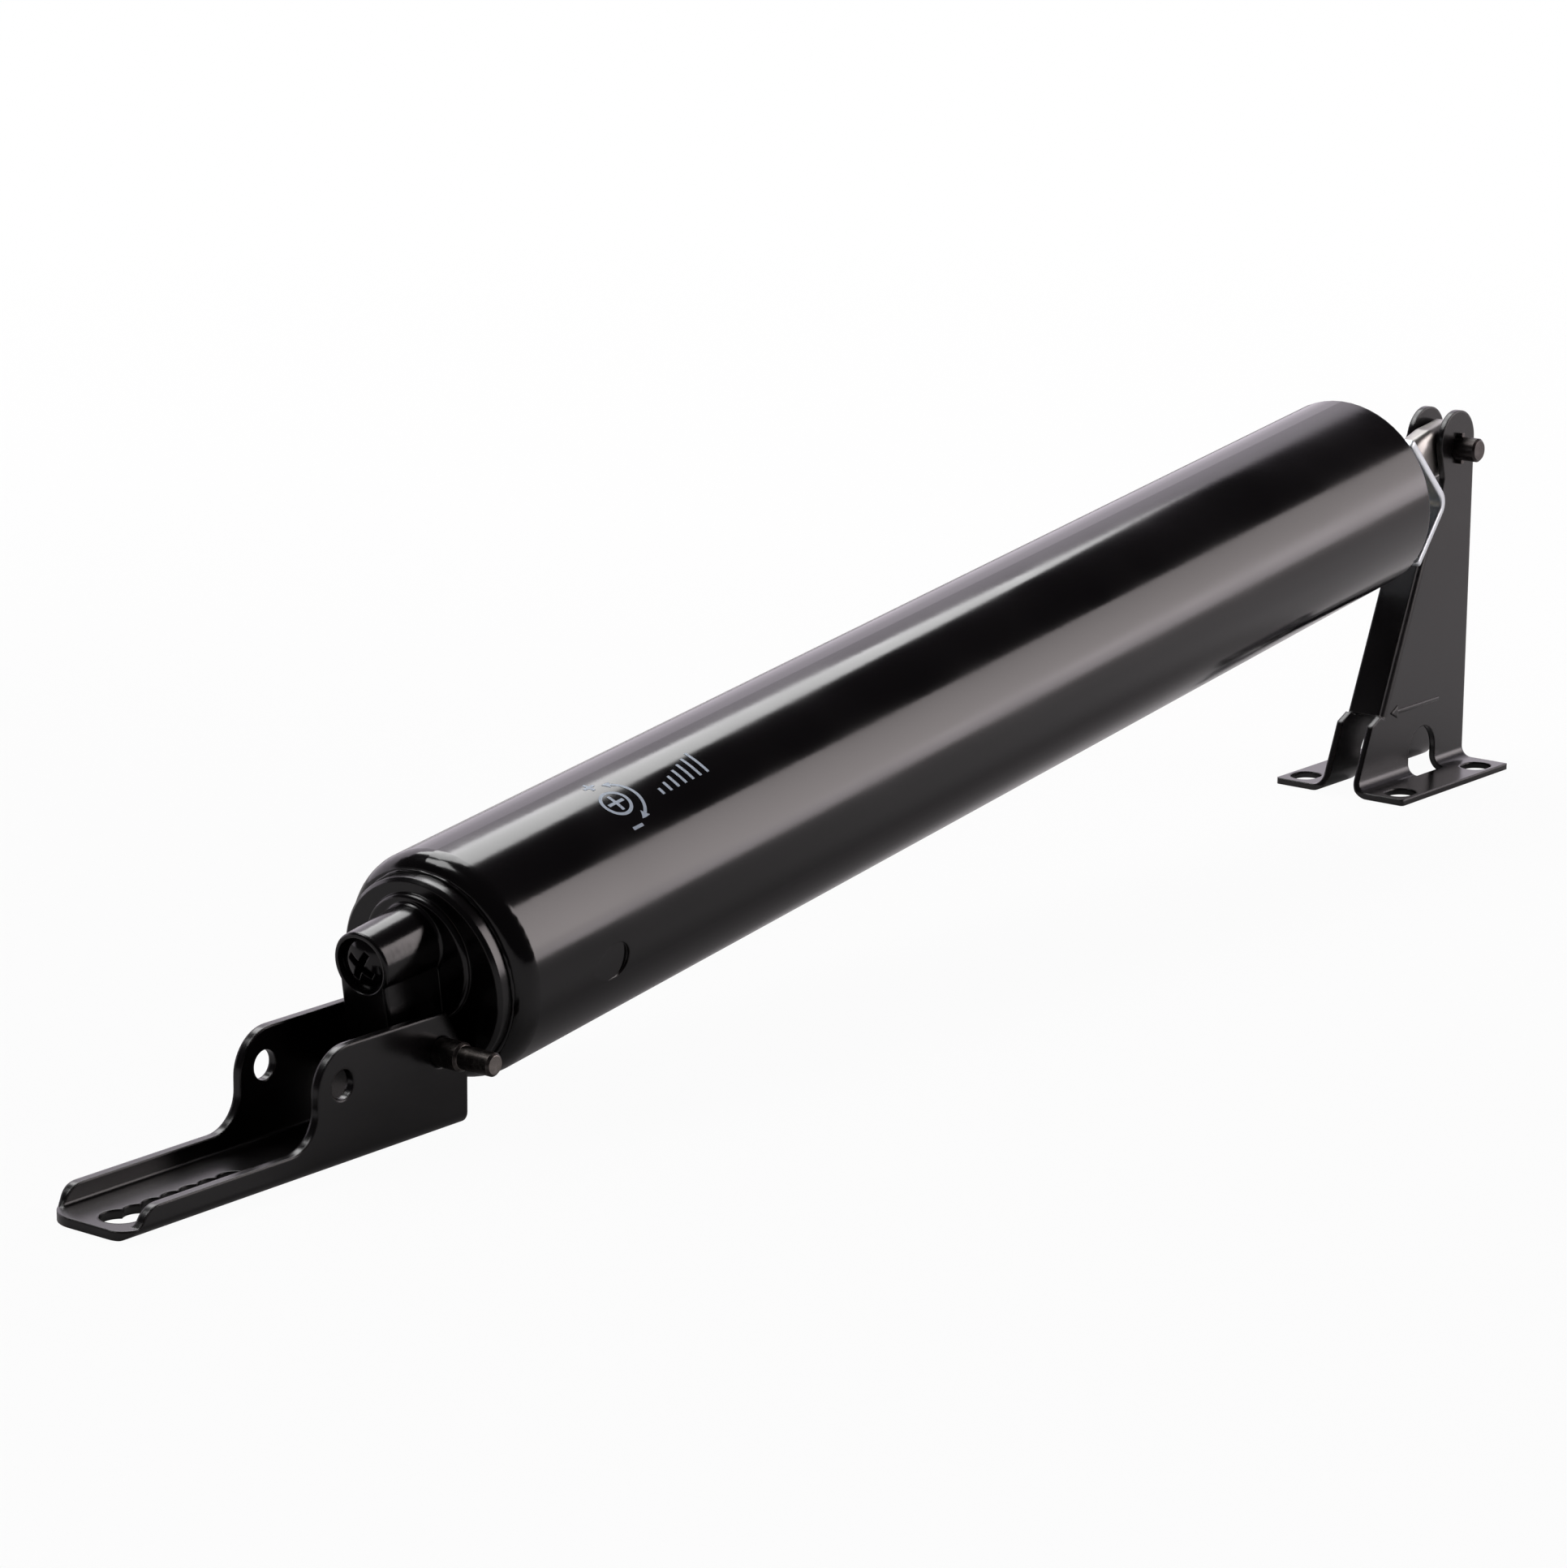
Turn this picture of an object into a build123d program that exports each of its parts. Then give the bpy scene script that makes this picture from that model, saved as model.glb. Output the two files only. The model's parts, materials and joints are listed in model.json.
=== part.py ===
"""Pneumatic closer for a storm door: tube, rod, two folded brackets and the parts inside."""

from build123d import *
from math import asin, atan2, cos, hypot, pi, radians, sin, sqrt

import os

os.makedirs("parts", exist_ok=True)

# Frame: +Z up, origin on the mounting plane under the door bracket's pin,
# +X runs below the tube towards the jamb bracket, -Y faces the viewer.
# All sizes are real ones in millimetres.

# Pin heights over the mounting plane, and the drop from tube axis to door pin
DOOR_PIN_HEIGHT = 13.2
JAMB_PIN_HEIGHT = 65.6
PIN_DROP = 8.56

# Pins and the play of the holes that they turn in
PIN_D = 4.76
PIN_PLAY = 0.14

# Tube
TUBE_OD = 38.1
TUBE_WALL = 1.2
TUBE_LENGTH = 270.3
CRIMP_ROUND = 2.5
CRIMP_LIP = 1.4
STAKE_START = 26.3
STAKE_LENGTH = 8.8
STAKE_WIDTH = 6.1
STAKE_SINK = 0.55
STAKE_ANGLES = (-9.4, 170.6)

# Die-cast end plug with its screw boss and pin lug
PLUG_FACE = 6.6
PLUG_FLANGE = 2.9
PLUG_DEPTH = 28.5
PLUG_EDGE = 0.6
PLUG_FIT = 0.1
PAD_R = 10.7
PAD_RISE = 1.0
PAD_EDGE = 0.8
PAD_OFFSET = 3.4
BOSS_R = 5.55
BOSS_BASE_R = 6.0
BOSS_RIM = 0.5
BOSS_BLEND = 0.6
BOSS_REACH = 6.6
LUG_WIDTH = 9.6
LUG_NOSE = 6.6
LUG_EDGE = 0.7
SEAL_GROOVE_AT = 17.0
SEAL_SECTION = 2.6
SEAL_SQUEEZE_ROOM = 0.05

# Adjusting screw, a needle valve in the end plug
SCREW_HEIGHT = 6.6
SCREW_HEAD_R = 4.6
SCREW_HEAD_PROUD = 0.15
SCREW_DOME = 1.3
SCREW_SHANK_R = 3.0
SCREW_THREAD_R = 2.0
SCREW_PLAY = 0.08
SCREW_SHANK_END = 14.0
SCREW_SEAL_SECTION = 1.0
NEEDLE_LENGTH = 3.5
NEEDLE_TIP_R = 0.4
VALVE_HOLE_R = 0.8
VALVE_WALL = 3.0
RECESS_SPAN = 5.4
RECESS_BLADE = 1.3
RECESS_DEPTH = 2.3
RECESS_TAPER = 8
RECESS_TURN = 32

# Piston stack on the inner end of the rod
PISTON_GAP = 2.5
ROD_TIP = 1.0
NUT_FLATS = 10.0
NUT_THICK = 4.0
CUP_WASHER_R = 12.0
CUP_WASHER_THICK = 1.2
CUP_BASE = 2.0
CUP_LIP = 3.6
CUP_WALL = 1.5
CUP_PLAY = 0.1
PISTON_THICK = 6.0
PISTON_PLAY = 0.35
PISTON_HUB_R = 10.5
PISTON_HUB = 3.0

# Rod and its flattened eye
ROD_D = 7.9
ROD_THREAD_R = 3.0
ROD_SHOWING = 35.85
EYE_THICK = 4.7
EYE_HEIGHT = 10.4
EYE_FLARE = 8.8
EYE_NECK = 6.8

# Return spring: closed length, and the stroke that it must leave room for
SPRING_WIRE = 2.6
SPRING_MEAN_R = 13.4
SPRING_TURNS = 12
SPRING_END_GAP = 0.05
STROKE = 165.0

# Rod guide at the open end of the tube
GUIDE_INSET = 6.0
GUIDE_LENGTH = 10.0
GUIDE_FIT = 0.1
BUSHING_R = 6.0
BUSHING_FLANGE_R = 8.0
BUSHING_FLANGE = 1.5
BUSHING_PLAY = 0.08
SEAT_THICK = 1.0
RING_THICK = 1.2
RING_WIDTH = 1.9
RING_GROOVE = 0.4
RING_GAP = 7.0
SMALL_FIT = 0.05

# Hold-open washer, a bent plate that rides on the rod
WASHER_WIDTH = 30.0
WASHER_UPPER = 19.4
WASHER_LOWER = 15.2
WASHER_UPPER_TILT = 36.9
WASHER_LOWER_TILT = 47.9
WASHER_THICK = 1.35
WASHER_BEND_R = 3.2
WASHER_CORNER = 0.5
WASHER_APEX_DROP = 3.1
WASHER_HOLE_R = 5.15
WASHER_HOLE_DROP = 0.8
WASHER_GAP = 0.6

# Door bracket, folded from sheet
DOOR_SHEET = 1.5
DOOR_WIDTH = 17.8
DOOR_BEND_R = 2.0
DOOR_TOE = 69.4
DOOR_HEEL = 6.1
DOOR_TOE_NEAR_R = 3.4
DOOR_TOE_FAR_R = 6.0
DOOR_RAIL = 4.4
DOOR_RAIL_END = 62.0
DOOR_RAIL_FALL = 3.6
DOOR_RAIL_STEP = 0.8
DOOR_EAR_TOP = 19.3
DOOR_EAR_FLAT = 1.2
DOOR_EAR_SLANT = 11.4
DOOR_EAR_R = 7.0
DOOR_EAR_BACK = 28.0
DOOR_EAR_FOOT_R = 6.0
SPARE_HOLE_AT = 22.5
SLOT_START = 63.8
SLOT_PITCH = 4.0
SLOT_STEPS = 6
SLOT_ENTRY_R = 3.3
SLOT_R = 2.7
SLOT_OFFSET = -2.4

# Jamb bracket, folded from sheet
JAMB_SHEET = 1.25
JAMB_GAP = 5.7
JAMB_BEND_R = 2.0
JAMB_FRONT = 6.1
JAMB_TOE = 34.2
JAMB_HEAD_R = 6.2
JAMB_HEAD_FRONT = 5.8
JAMB_HEAD_RISE = 1.4
JAMB_NECK_END = (-5.0, 60.1)
JAMB_NECK_MIDDLE = (-8.0, 52.5)
JAMB_WEB_TOP = (-11.3, 48.3)
JAMB_WEB_FOOT = (-25.9, 14.9)
JAMB_WEB_HEEL = (-29.0, 13.5)
JAMB_FOOT_HALF = 14.7
JAMB_FOOT_BEND = 2.2
JAMB_FOOT_CORNER = 0.6
JAMB_HOLE_PITCH = 29.0
JAMB_HOLE_HALF = 11.0
JAMB_HOLE_LENGTH = 7.0
JAMB_HOLE_WIDTH = 5.6
NOTCH_HALF = 5.05
NOTCH_TOP = 10.2
NOTCH_NEAR = -9.8
NOTCH_FAR = -16.9

# Pin heads and ends
DOOR_PIN_HEAD_R = 3.8
DOOR_PIN_HEAD = 1.8
DOOR_PIN_ROUND = 0.9
DOOR_PIN_REACH = 13.7
DOOR_PIN_TIP_R = 1.925
DOOR_PIN_TIP = 6.4
JAMB_PIN_HEAD_R = 4.0
JAMB_PIN_HEAD = 2.4
JAMB_PIN_ROUND = 1.2
JAMB_PIN_REACH = 8.9
PIN_CHAMFER = 0.4
WING_SPAN = 6.2
WING_THICK = 1.0

# Stations along the tube axis, counted from the foot of the door pin
tube_front = PLUG_FACE + PLUG_FLANGE
tube_back = tube_front + TUBE_LENGTH
pin_span = tube_back + ROD_SHOWING
crimp_end = tube_front + TUBE_WALL + CRIMP_ROUND
plug_back = tube_front + PLUG_DEPTH
rod_tip = plug_back + PISTON_GAP
nut_front = rod_tip + ROD_TIP
cup_washer_front = nut_front + NUT_THICK
cup_front = cup_washer_front + CUP_WASHER_THICK
piston_front = cup_front + CUP_BASE
piston_back = piston_front + PISTON_THICK
guide_back = tube_back - GUIDE_INSET
guide_front = guide_back - GUIDE_LENGTH
seat_front = guide_front - SEAT_THICK

# Radii that follow from the tube
tube_r = TUBE_OD / 2
bore_r = tube_r - TUBE_WALL
rim_r = bore_r - CRIMP_LIP
plug_r = bore_r - PLUG_FIT
neck_r = rim_r - SMALL_FIT
rod_r = ROD_D / 2
pin_r = PIN_D / 2
hole_r = (PIN_D + PIN_PLAY) / 2

# The tube leans so that both brackets stand on the mounting plane
rise = JAMB_PIN_HEIGHT - DOOR_PIN_HEIGHT
lean = asin(rise / hypot(pin_span, PIN_DROP)) - atan2(PIN_DROP, pin_span)
along = Vector(cos(lean), 0, sin(lean))
up = Vector(-sin(lean), 0, cos(lean))
near = Vector(0, -1, 0)
start = Vector(0, 0, DOOR_PIN_HEIGHT) + up * PIN_DROP
jamb_x = (start + along * pin_span).X
tube_axis = Axis(start, along)
side = Plane(origin=start, x_dir=along, z_dir=near)
screw_side = Plane(origin=start + up * SCREW_HEIGHT, x_dir=along, z_dir=near)
screw_axis = Axis(screw_side.origin, along)
door_side = Plane.XZ
jamb_side = Plane(origin=(jamb_x, 0, 0), x_dir=(1, 0, 0), z_dir=near)


def across(station):
    """Plane square to the tube at a station, seen from the door pin: Y, then upwards."""
    return Plane(origin=start + along * station, x_dir=(0, 1, 0), z_dir=along)


def stake_floor(angle):
    """Sloping floor of a stake, at an angle counted upwards from the near side."""
    outward = near.rotate(Axis((0, 0, 0), along), -angle)
    slope = atan2(STAKE_SINK, STAKE_LENGTH)
    return Plane(
        origin=start + along * STAKE_START + outward * tube_r,
        x_dir=along * cos(slope) - outward * sin(slope),
        z_dir=along * sin(slope) + outward * cos(slope),
    )


def stake_outline(grow):
    """U shape of a stake on the current plane, grown by a margin for its inner side."""
    half = STAKE_WIDTH / 2
    reach = hypot(STAKE_SINK, STAKE_LENGTH) - half
    with Locations((reach / 2, 0)):
        Rectangle(reach, 2 * (half + grow))
    with Locations((reach, 0)):
        Circle(half + grow)


# Tube: spun over the plug at the front, cut square at the back, staked on two sides
stake_skin = 0.8 * TUBE_WALL
with BuildPart() as barrel_tube:
    for angle in STAKE_ANGLES:
        with BuildSketch(stake_floor(angle)):
            stake_outline(stake_skin)
        extrude(amount=-TUBE_WALL)
        with BuildSketch(stake_floor(angle)):
            stake_outline(stake_skin)
        extrude(amount=TUBE_WALL + STAKE_SINK)
    with BuildSketch(across(tube_front)):
        Circle(tube_r)
    extrude(amount=TUBE_LENGTH, mode=Mode.INTERSECT)
    with BuildSketch(side):
        with BuildLine():
            EllipticalCenterArc(
                (crimp_end, rim_r), crimp_end - tube_front, tube_r - rim_r, 90, arc_size=90
            )
            Polyline(
                (crimp_end, tube_r),
                (tube_back, tube_r),
                (tube_back, bore_r),
                (crimp_end, bore_r),
                (tube_front + TUBE_WALL, rim_r),
                (tube_front, rim_r),
            )
        make_face()
    revolve(axis=tube_axis)
    for angle in STAKE_ANGLES:
        with BuildSketch(stake_floor(angle)):
            stake_outline(0)
        extrude(amount=TUBE_WALL + STAKE_SINK, mode=Mode.SUBTRACT)
    # Groove for the retaining ring behind the rod guide
    with BuildSketch(across(guide_back)):
        Circle(bore_r + RING_GROOVE)
    extrude(amount=RING_THICK + SMALL_FIT, mode=Mode.SUBTRACT)
barrel_tube.part.label = "barrel_tube"
export_step(barrel_tube.part, "parts/barrel_tube.step")

# End plug: turned body in the tube, cast pad, screw boss and lug in front of it
seal_groove_r = bore_r - SEAL_SECTION
stake_groove_r = bore_r - STAKE_SINK - TUBE_WALL / 2
screw_bore_r = SCREW_SHANK_R + SCREW_PLAY
thread_bore_r = SCREW_THREAD_R + SCREW_PLAY
head_room_r = SCREW_HEAD_R + SCREW_PLAY
valve_seat = plug_back - VALVE_WALL
with BuildPart() as end_plug:
    with BuildSketch(side):
        with BuildLine():
            Polyline((0, SCREW_HEIGHT), (-LUG_NOSE, SCREW_HEIGHT), (-LUG_NOSE, -PIN_DROP))
            RadiusArc((-LUG_NOSE, -PIN_DROP), (0, -PIN_DROP - LUG_NOSE), -LUG_NOSE)
            Polyline(
                (0, -PIN_DROP - LUG_NOSE),
                (PLUG_FACE + PLUG_EDGE, -PIN_DROP - LUG_NOSE),
                (PLUG_FACE + PLUG_EDGE, SCREW_HEIGHT),
                (0, SCREW_HEIGHT),
            )
        make_face()
    extrude(amount=LUG_WIDTH / 2, both=True)
    lug_sides = end_plug.faces().filter_by(Axis.Y).edges()
    lug_back = end_plug.faces().sort_by(tube_axis)[-1].edges()
    lug_top = end_plug.faces().sort_by(Axis.Z)[-1].edges()
    fillet(lug_sides - lug_back - lug_top, radius=LUG_EDGE)
    with BuildSketch(side):
        with BuildLine():
            Polyline(
                (PLUG_FACE, 0),
                (PLUG_FACE, neck_r - PLUG_EDGE),
                (PLUG_FACE + PLUG_EDGE, neck_r),
                (tube_front + TUBE_WALL + SMALL_FIT, neck_r),
                (crimp_end, plug_r),
                (plug_back, plug_r),
                (plug_back, 0),
                close=True,
            )
        make_face()
    revolve(axis=tube_axis)
    with BuildSketch(side):
        with Locations((SEAL_GROOVE_AT, seal_groove_r)):
            Rectangle(1.25 * SEAL_SECTION, SEAL_SECTION, align=(Align.CENTER, Align.MIN))
    revolve(axis=tube_axis, mode=Mode.SUBTRACT)
    stake_groove_start = STAKE_START - 0.5
    stake_groove_end = STAKE_START + STAKE_LENGTH + stake_skin + SMALL_FIT
    with BuildSketch(side):
        with Locations((stake_groove_start, stake_groove_r)):
            Rectangle(
                stake_groove_end - stake_groove_start, STAKE_SINK + TUBE_WALL, align=Align.MIN
            )
    revolve(axis=tube_axis, mode=Mode.SUBTRACT)
    # Round pad, its rim softened
    pad_face = PLUG_FACE - PAD_RISE
    with BuildSketch(side):
        with BuildLine():
            Line((pad_face, PAD_OFFSET), (pad_face, PAD_OFFSET + PAD_R - PAD_EDGE))
            CenterArc((pad_face + PAD_EDGE, PAD_OFFSET + PAD_R - PAD_EDGE), PAD_EDGE, 90, 90)
            Polyline(
                (pad_face + PAD_EDGE, PAD_OFFSET + PAD_R),
                (PLUG_FACE + PLUG_EDGE, PAD_OFFSET + PAD_R),
                (PLUG_FACE + PLUG_EDGE, PAD_OFFSET),
                (pad_face, PAD_OFFSET),
            )
        make_face()
    revolve(axis=Axis(start + up * PAD_OFFSET, along))
    # Screw boss: tapered, round at its rim and blended into the pad
    with BuildSketch(screw_side):
        with BuildLine():
            Line((-BOSS_REACH, 0), (-BOSS_REACH, BOSS_R - BOSS_RIM))
            CenterArc((-BOSS_REACH + BOSS_RIM, BOSS_R - BOSS_RIM), BOSS_RIM, 90, 90)
            Line((-BOSS_REACH + BOSS_RIM, BOSS_R), (pad_face - BOSS_BLEND, BOSS_BASE_R))
            CenterArc((pad_face - BOSS_BLEND, BOSS_BASE_R + BOSS_BLEND), BOSS_BLEND, -90, 90)
            Polyline(
                (pad_face, BOSS_BASE_R + BOSS_BLEND),
                (PLUG_FACE, BOSS_BASE_R + BOSS_BLEND),
                (PLUG_FACE, 0),
                (-BOSS_REACH, 0),
            )
        make_face()
    revolve(axis=screw_axis)
    with BuildSketch(door_side):
        with Locations((0, DOOR_PIN_HEIGHT)):
            Circle(hole_r)
    extrude(amount=LUG_WIDTH, both=True, mode=Mode.SUBTRACT)
    # Stepped bore of the adjusting screw, down to the valve hole
    cone_start = -BOSS_REACH - SCREW_HEAD_PROUD + SCREW_DOME
    with BuildSketch(screw_side):
        with BuildLine():
            Polyline(
                (-BOSS_REACH, 0),
                (-BOSS_REACH, head_room_r),
                (cone_start, head_room_r),
                (cone_start + head_room_r - screw_bore_r, screw_bore_r),
                (SCREW_SHANK_END, screw_bore_r),
                (SCREW_SHANK_END, thread_bore_r),
                (valve_seat - thread_bore_r + VALVE_HOLE_R, thread_bore_r),
                (valve_seat, VALVE_HOLE_R),
                (plug_back, VALVE_HOLE_R),
                (plug_back, 0),
                close=True,
            )
        make_face()
    revolve(axis=screw_axis, mode=Mode.SUBTRACT)
end_plug.part.label = "end_plug"
export_step(end_plug.part, "parts/end_plug.step")

# Square-cut sealing ring of the plug
with BuildPart() as plug_seal:
    with BuildSketch(across(SEAL_GROOVE_AT - SEAL_SECTION / 2)):
        Circle(bore_r - SEAL_SQUEEZE_ROOM)
        Circle(seal_groove_r + SEAL_SQUEEZE_ROOM, mode=Mode.SUBTRACT)
    extrude(amount=SEAL_SECTION)
plug_seal.part.label = "plug_seal"
export_step(plug_seal.part, "parts/plug_seal.step")

# Adjusting screw: oval countersunk head, sealed shank, thread core and needle
dome_top = -BOSS_REACH - SCREW_HEAD_PROUD
head_edge = dome_top + SCREW_DOME
dome_r = (SCREW_HEAD_R**2 + SCREW_DOME**2) / (2 * SCREW_DOME)
needle_start = valve_seat + VALVE_HOLE_R - NEEDLE_LENGTH
groove_at = SCREW_SHANK_END / 2
with BuildPart() as adjusting_screw:
    with BuildSketch(screw_side):
        with BuildLine():
            RadiusArc((head_edge, SCREW_HEAD_R), (dome_top, 0), -dome_r)
            Polyline(
                (head_edge, SCREW_HEAD_R),
                (head_edge + SCREW_HEAD_R - SCREW_SHANK_R, SCREW_SHANK_R),
                (SCREW_SHANK_END - 4 * SCREW_PLAY, SCREW_SHANK_R),
                (SCREW_SHANK_END - 4 * SCREW_PLAY, SCREW_THREAD_R),
                (needle_start, SCREW_THREAD_R),
                (needle_start + NEEDLE_LENGTH, NEEDLE_TIP_R),
                (needle_start + NEEDLE_LENGTH, 0),
                (dome_top, 0),
            )
        make_face()
    revolve(axis=screw_axis)
    with BuildSketch(screw_side):
        with Locations((groove_at, SCREW_SHANK_R - SCREW_SEAL_SECTION)):
            Rectangle(
                1.3 * SCREW_SEAL_SECTION, 2 * SCREW_SEAL_SECTION, align=(Align.CENTER, Align.MIN)
            )
    revolve(axis=screw_axis, mode=Mode.SUBTRACT)
    with BuildSketch(across(dome_top)):
        with Locations(Location((0, SCREW_HEIGHT), RECESS_TURN)):
            Rectangle(RECESS_SPAN, RECESS_BLADE)
            Rectangle(RECESS_BLADE, RECESS_SPAN)
    extrude(amount=RECESS_DEPTH, taper=RECESS_TAPER, mode=Mode.SUBTRACT)
adjusting_screw.part.label = "adjusting_screw"
export_step(adjusting_screw.part, "parts/adjusting_screw.step")

# Small sealing ring in the screw's groove
with BuildPart() as screw_seal:
    with BuildSketch(across(groove_at - SCREW_SEAL_SECTION / 2)):
        with Locations((0, SCREW_HEIGHT)):
            Circle(SCREW_SHANK_R + SCREW_PLAY / 2)
            Circle(SCREW_SHANK_R - SCREW_SEAL_SECTION + SCREW_PLAY / 2, mode=Mode.SUBTRACT)
    extrude(amount=SCREW_SEAL_SECTION)
screw_seal.part.label = "screw_seal"
export_step(screw_seal.part, "parts/screw_seal.step")

# Rod: threaded inner end, round shank, and an eye flattened out of the same bar
flare_start = pin_span - EYE_NECK - EYE_FLARE
eye_start = pin_span - EYE_NECK
with BuildPart() as rod:
    with BuildSketch(across(rod_tip)):
        Circle(ROD_THREAD_R)
    extrude(amount=piston_back - rod_tip)
    chamfer(rod.edges().filter_by(GeomType.CIRCLE).sort_by(tube_axis)[0], length=ROD_TIP / 2)
    with BuildSketch(across(piston_back)):
        Circle(rod_r)
    extrude(amount=flare_start - piston_back)
    with BuildSketch(across(flare_start)):
        Circle(rod_r)
    with BuildSketch(across(eye_start)):
        RectangleRounded(EYE_THICK, EYE_HEIGHT, 0.3 * EYE_THICK)
    loft()
    with BuildSketch(across(eye_start)):
        RectangleRounded(EYE_THICK, EYE_HEIGHT, 0.3 * EYE_THICK)
    extrude(amount=EYE_NECK + EYE_HEIGHT / 2)
    # Round end about the pin
    with BuildSketch(side):
        with Locations((pin_span, 0)):
            Rectangle(EYE_HEIGHT, 2 * EYE_HEIGHT, align=(Align.MIN, Align.CENTER))
            Circle(EYE_HEIGHT / 2, mode=Mode.SUBTRACT)
    extrude(amount=EYE_THICK, both=True, mode=Mode.SUBTRACT)
    with BuildSketch(side):
        with Locations((pin_span, 0)):
            Circle(hole_r)
    extrude(amount=EYE_THICK, both=True, mode=Mode.SUBTRACT)
rod.part.label = "rod"
export_step(rod.part, "parts/rod.step")

# Piston nut
with BuildPart() as piston_nut:
    with BuildSketch(across(nut_front)):
        RegularPolygon(NUT_FLATS / 2, 6, major_radius=False)
        Circle(ROD_THREAD_R + SMALL_FIT, mode=Mode.SUBTRACT)
    extrude(amount=NUT_THICK)
piston_nut.part.label = "piston_nut"
export_step(piston_nut.part, "parts/piston_nut.step")

# Washer that clamps the cup
with BuildPart() as cup_washer:
    with BuildSketch(across(cup_washer_front)):
        Circle(CUP_WASHER_R)
        Circle(ROD_THREAD_R + SMALL_FIT, mode=Mode.SUBTRACT)
    extrude(amount=CUP_WASHER_THICK)
cup_washer.part.label = "cup_washer"
export_step(cup_washer.part, "parts/cup_washer.step")

# Rubber cup: flat base, and a lip that opens towards the plug
cup_r = bore_r - CUP_PLAY
with BuildPart() as piston_cup:
    with BuildSketch(side):
        with BuildLine():
            Polyline(
                (cup_front, ROD_THREAD_R + SMALL_FIT),
                (piston_front, ROD_THREAD_R + SMALL_FIT),
                (piston_front, cup_r - CUP_BASE),
                (cup_front, cup_r),
                (cup_front - CUP_LIP, cup_r),
                (cup_front - CUP_LIP, cup_r - CUP_WALL / 2),
                (cup_front, cup_r - CUP_WALL - CUP_BASE / 2),
                close=True,
            )
        make_face()
    revolve(axis=tube_axis)
piston_cup.part.label = "piston_cup"
export_step(piston_cup.part, "parts/piston_cup.step")

# Piston: guides the rod in the bore, and its hub centres the spring
piston_r = bore_r - PISTON_PLAY
with BuildPart() as piston:
    with BuildSketch(across(piston_front)):
        Circle(piston_r)
    extrude(amount=PISTON_THICK)
    with BuildSketch(across(piston_back)):
        Circle(PISTON_HUB_R)
    extrude(amount=PISTON_HUB)
    chamfer(piston.edges().filter_by(GeomType.CIRCLE).sort_by(tube_axis)[-1], length=1)
    with BuildSketch(across(piston_front)):
        Circle(ROD_THREAD_R + SMALL_FIT)
    extrude(amount=PISTON_THICK, mode=Mode.SUBTRACT)
    with BuildSketch(across(piston_back)):
        Circle(rod_r + SMALL_FIT)
    extrude(amount=PISTON_HUB, mode=Mode.SUBTRACT)
piston.part.label = "piston"
export_step(piston.part, "parts/piston.step")

# Return spring: one unbroken wire round the rod, six-sided as nothing shows it in the tube
spring_start = piston_back + SPRING_WIRE / 2 + SPRING_END_GAP
spring_length = seat_front - piston_back - SPRING_WIRE - 2 * SPRING_END_GAP
spring_pitch = spring_length / SPRING_TURNS


def on_spring(turn):
    """Point of the wire's centre line after a number of turns from the piston."""
    out = up.rotate(Axis((0, 0, 0), along), 360 * turn)
    return start + along * (spring_start + spring_pitch * turn) + out * SPRING_MEAN_R


with BuildPart() as return_spring:
    with BuildLine() as wire:
        for quarter in range(4 * SPRING_TURNS):
            turn = quarter / 4
            ThreePointArc(on_spring(turn), on_spring(turn + 1 / 8), on_spring(turn + 1 / 4))
    with BuildSketch(Plane(origin=wire.wire() @ 0, z_dir=wire.wire() % 0)):
        RegularPolygon(SPRING_WIRE / 2, 6)
    sweep()
return_spring.part.label = "return_spring"
export_step(return_spring.part, "parts/return_spring.step")
open_gap = spring_pitch * cos(atan2(spring_pitch, 2 * pi * SPRING_MEAN_R)) - SPRING_WIRE
shut_gap = (spring_length - STROKE) / SPRING_TURNS - SPRING_WIRE
print(f"spring: gap between turns {open_gap:.2f} mm shut door, {shut_gap:.2f} mm at full stroke")

# Spring seat: steel washer against the rod guide
with BuildPart() as spring_seat:
    with BuildSketch(across(seat_front)):
        Circle(bore_r - PISTON_PLAY)
        Circle(rod_r + PISTON_PLAY, mode=Mode.SUBTRACT)
    extrude(amount=SEAT_THICK)
spring_seat.part.label = "spring_seat"
export_step(spring_seat.part, "parts/spring_seat.step")

# Rod guide with a counterbore for the bushing's flange
with BuildPart() as rod_guide:
    with BuildSketch(across(guide_front)):
        Circle(bore_r - GUIDE_FIT)
        Circle(BUSHING_R + SMALL_FIT, mode=Mode.SUBTRACT)
    extrude(amount=GUIDE_LENGTH)
    with BuildSketch(across(guide_back - BUSHING_FLANGE)):
        Circle(BUSHING_FLANGE_R + SMALL_FIT)
    extrude(amount=BUSHING_FLANGE, mode=Mode.SUBTRACT)
    # Shallow coring between hub and rim, as cast
    with BuildSketch(across(guide_back - GUIDE_LENGTH / 3)):
        Circle(bore_r - GUIDE_FIT - 2)
        Circle(BUSHING_FLANGE_R + 2, mode=Mode.SUBTRACT)
    extrude(amount=GUIDE_LENGTH / 3, mode=Mode.SUBTRACT)
rod_guide.part.label = "rod_guide"
export_step(rod_guide.part, "parts/rod_guide.step")

# Bushing that the rod slides in
with BuildPart() as guide_bushing:
    with BuildSketch(across(guide_front)):
        Circle(BUSHING_R)
    extrude(amount=GUIDE_LENGTH)
    with BuildSketch(across(guide_back - BUSHING_FLANGE)):
        Circle(BUSHING_FLANGE_R)
    extrude(amount=BUSHING_FLANGE)
    with BuildSketch(across(guide_front)):
        Circle(rod_r + BUSHING_PLAY)
    extrude(amount=GUIDE_LENGTH, mode=Mode.SUBTRACT)
guide_bushing.part.label = "guide_bushing"
export_step(guide_bushing.part, "parts/guide_bushing.step")

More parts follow.
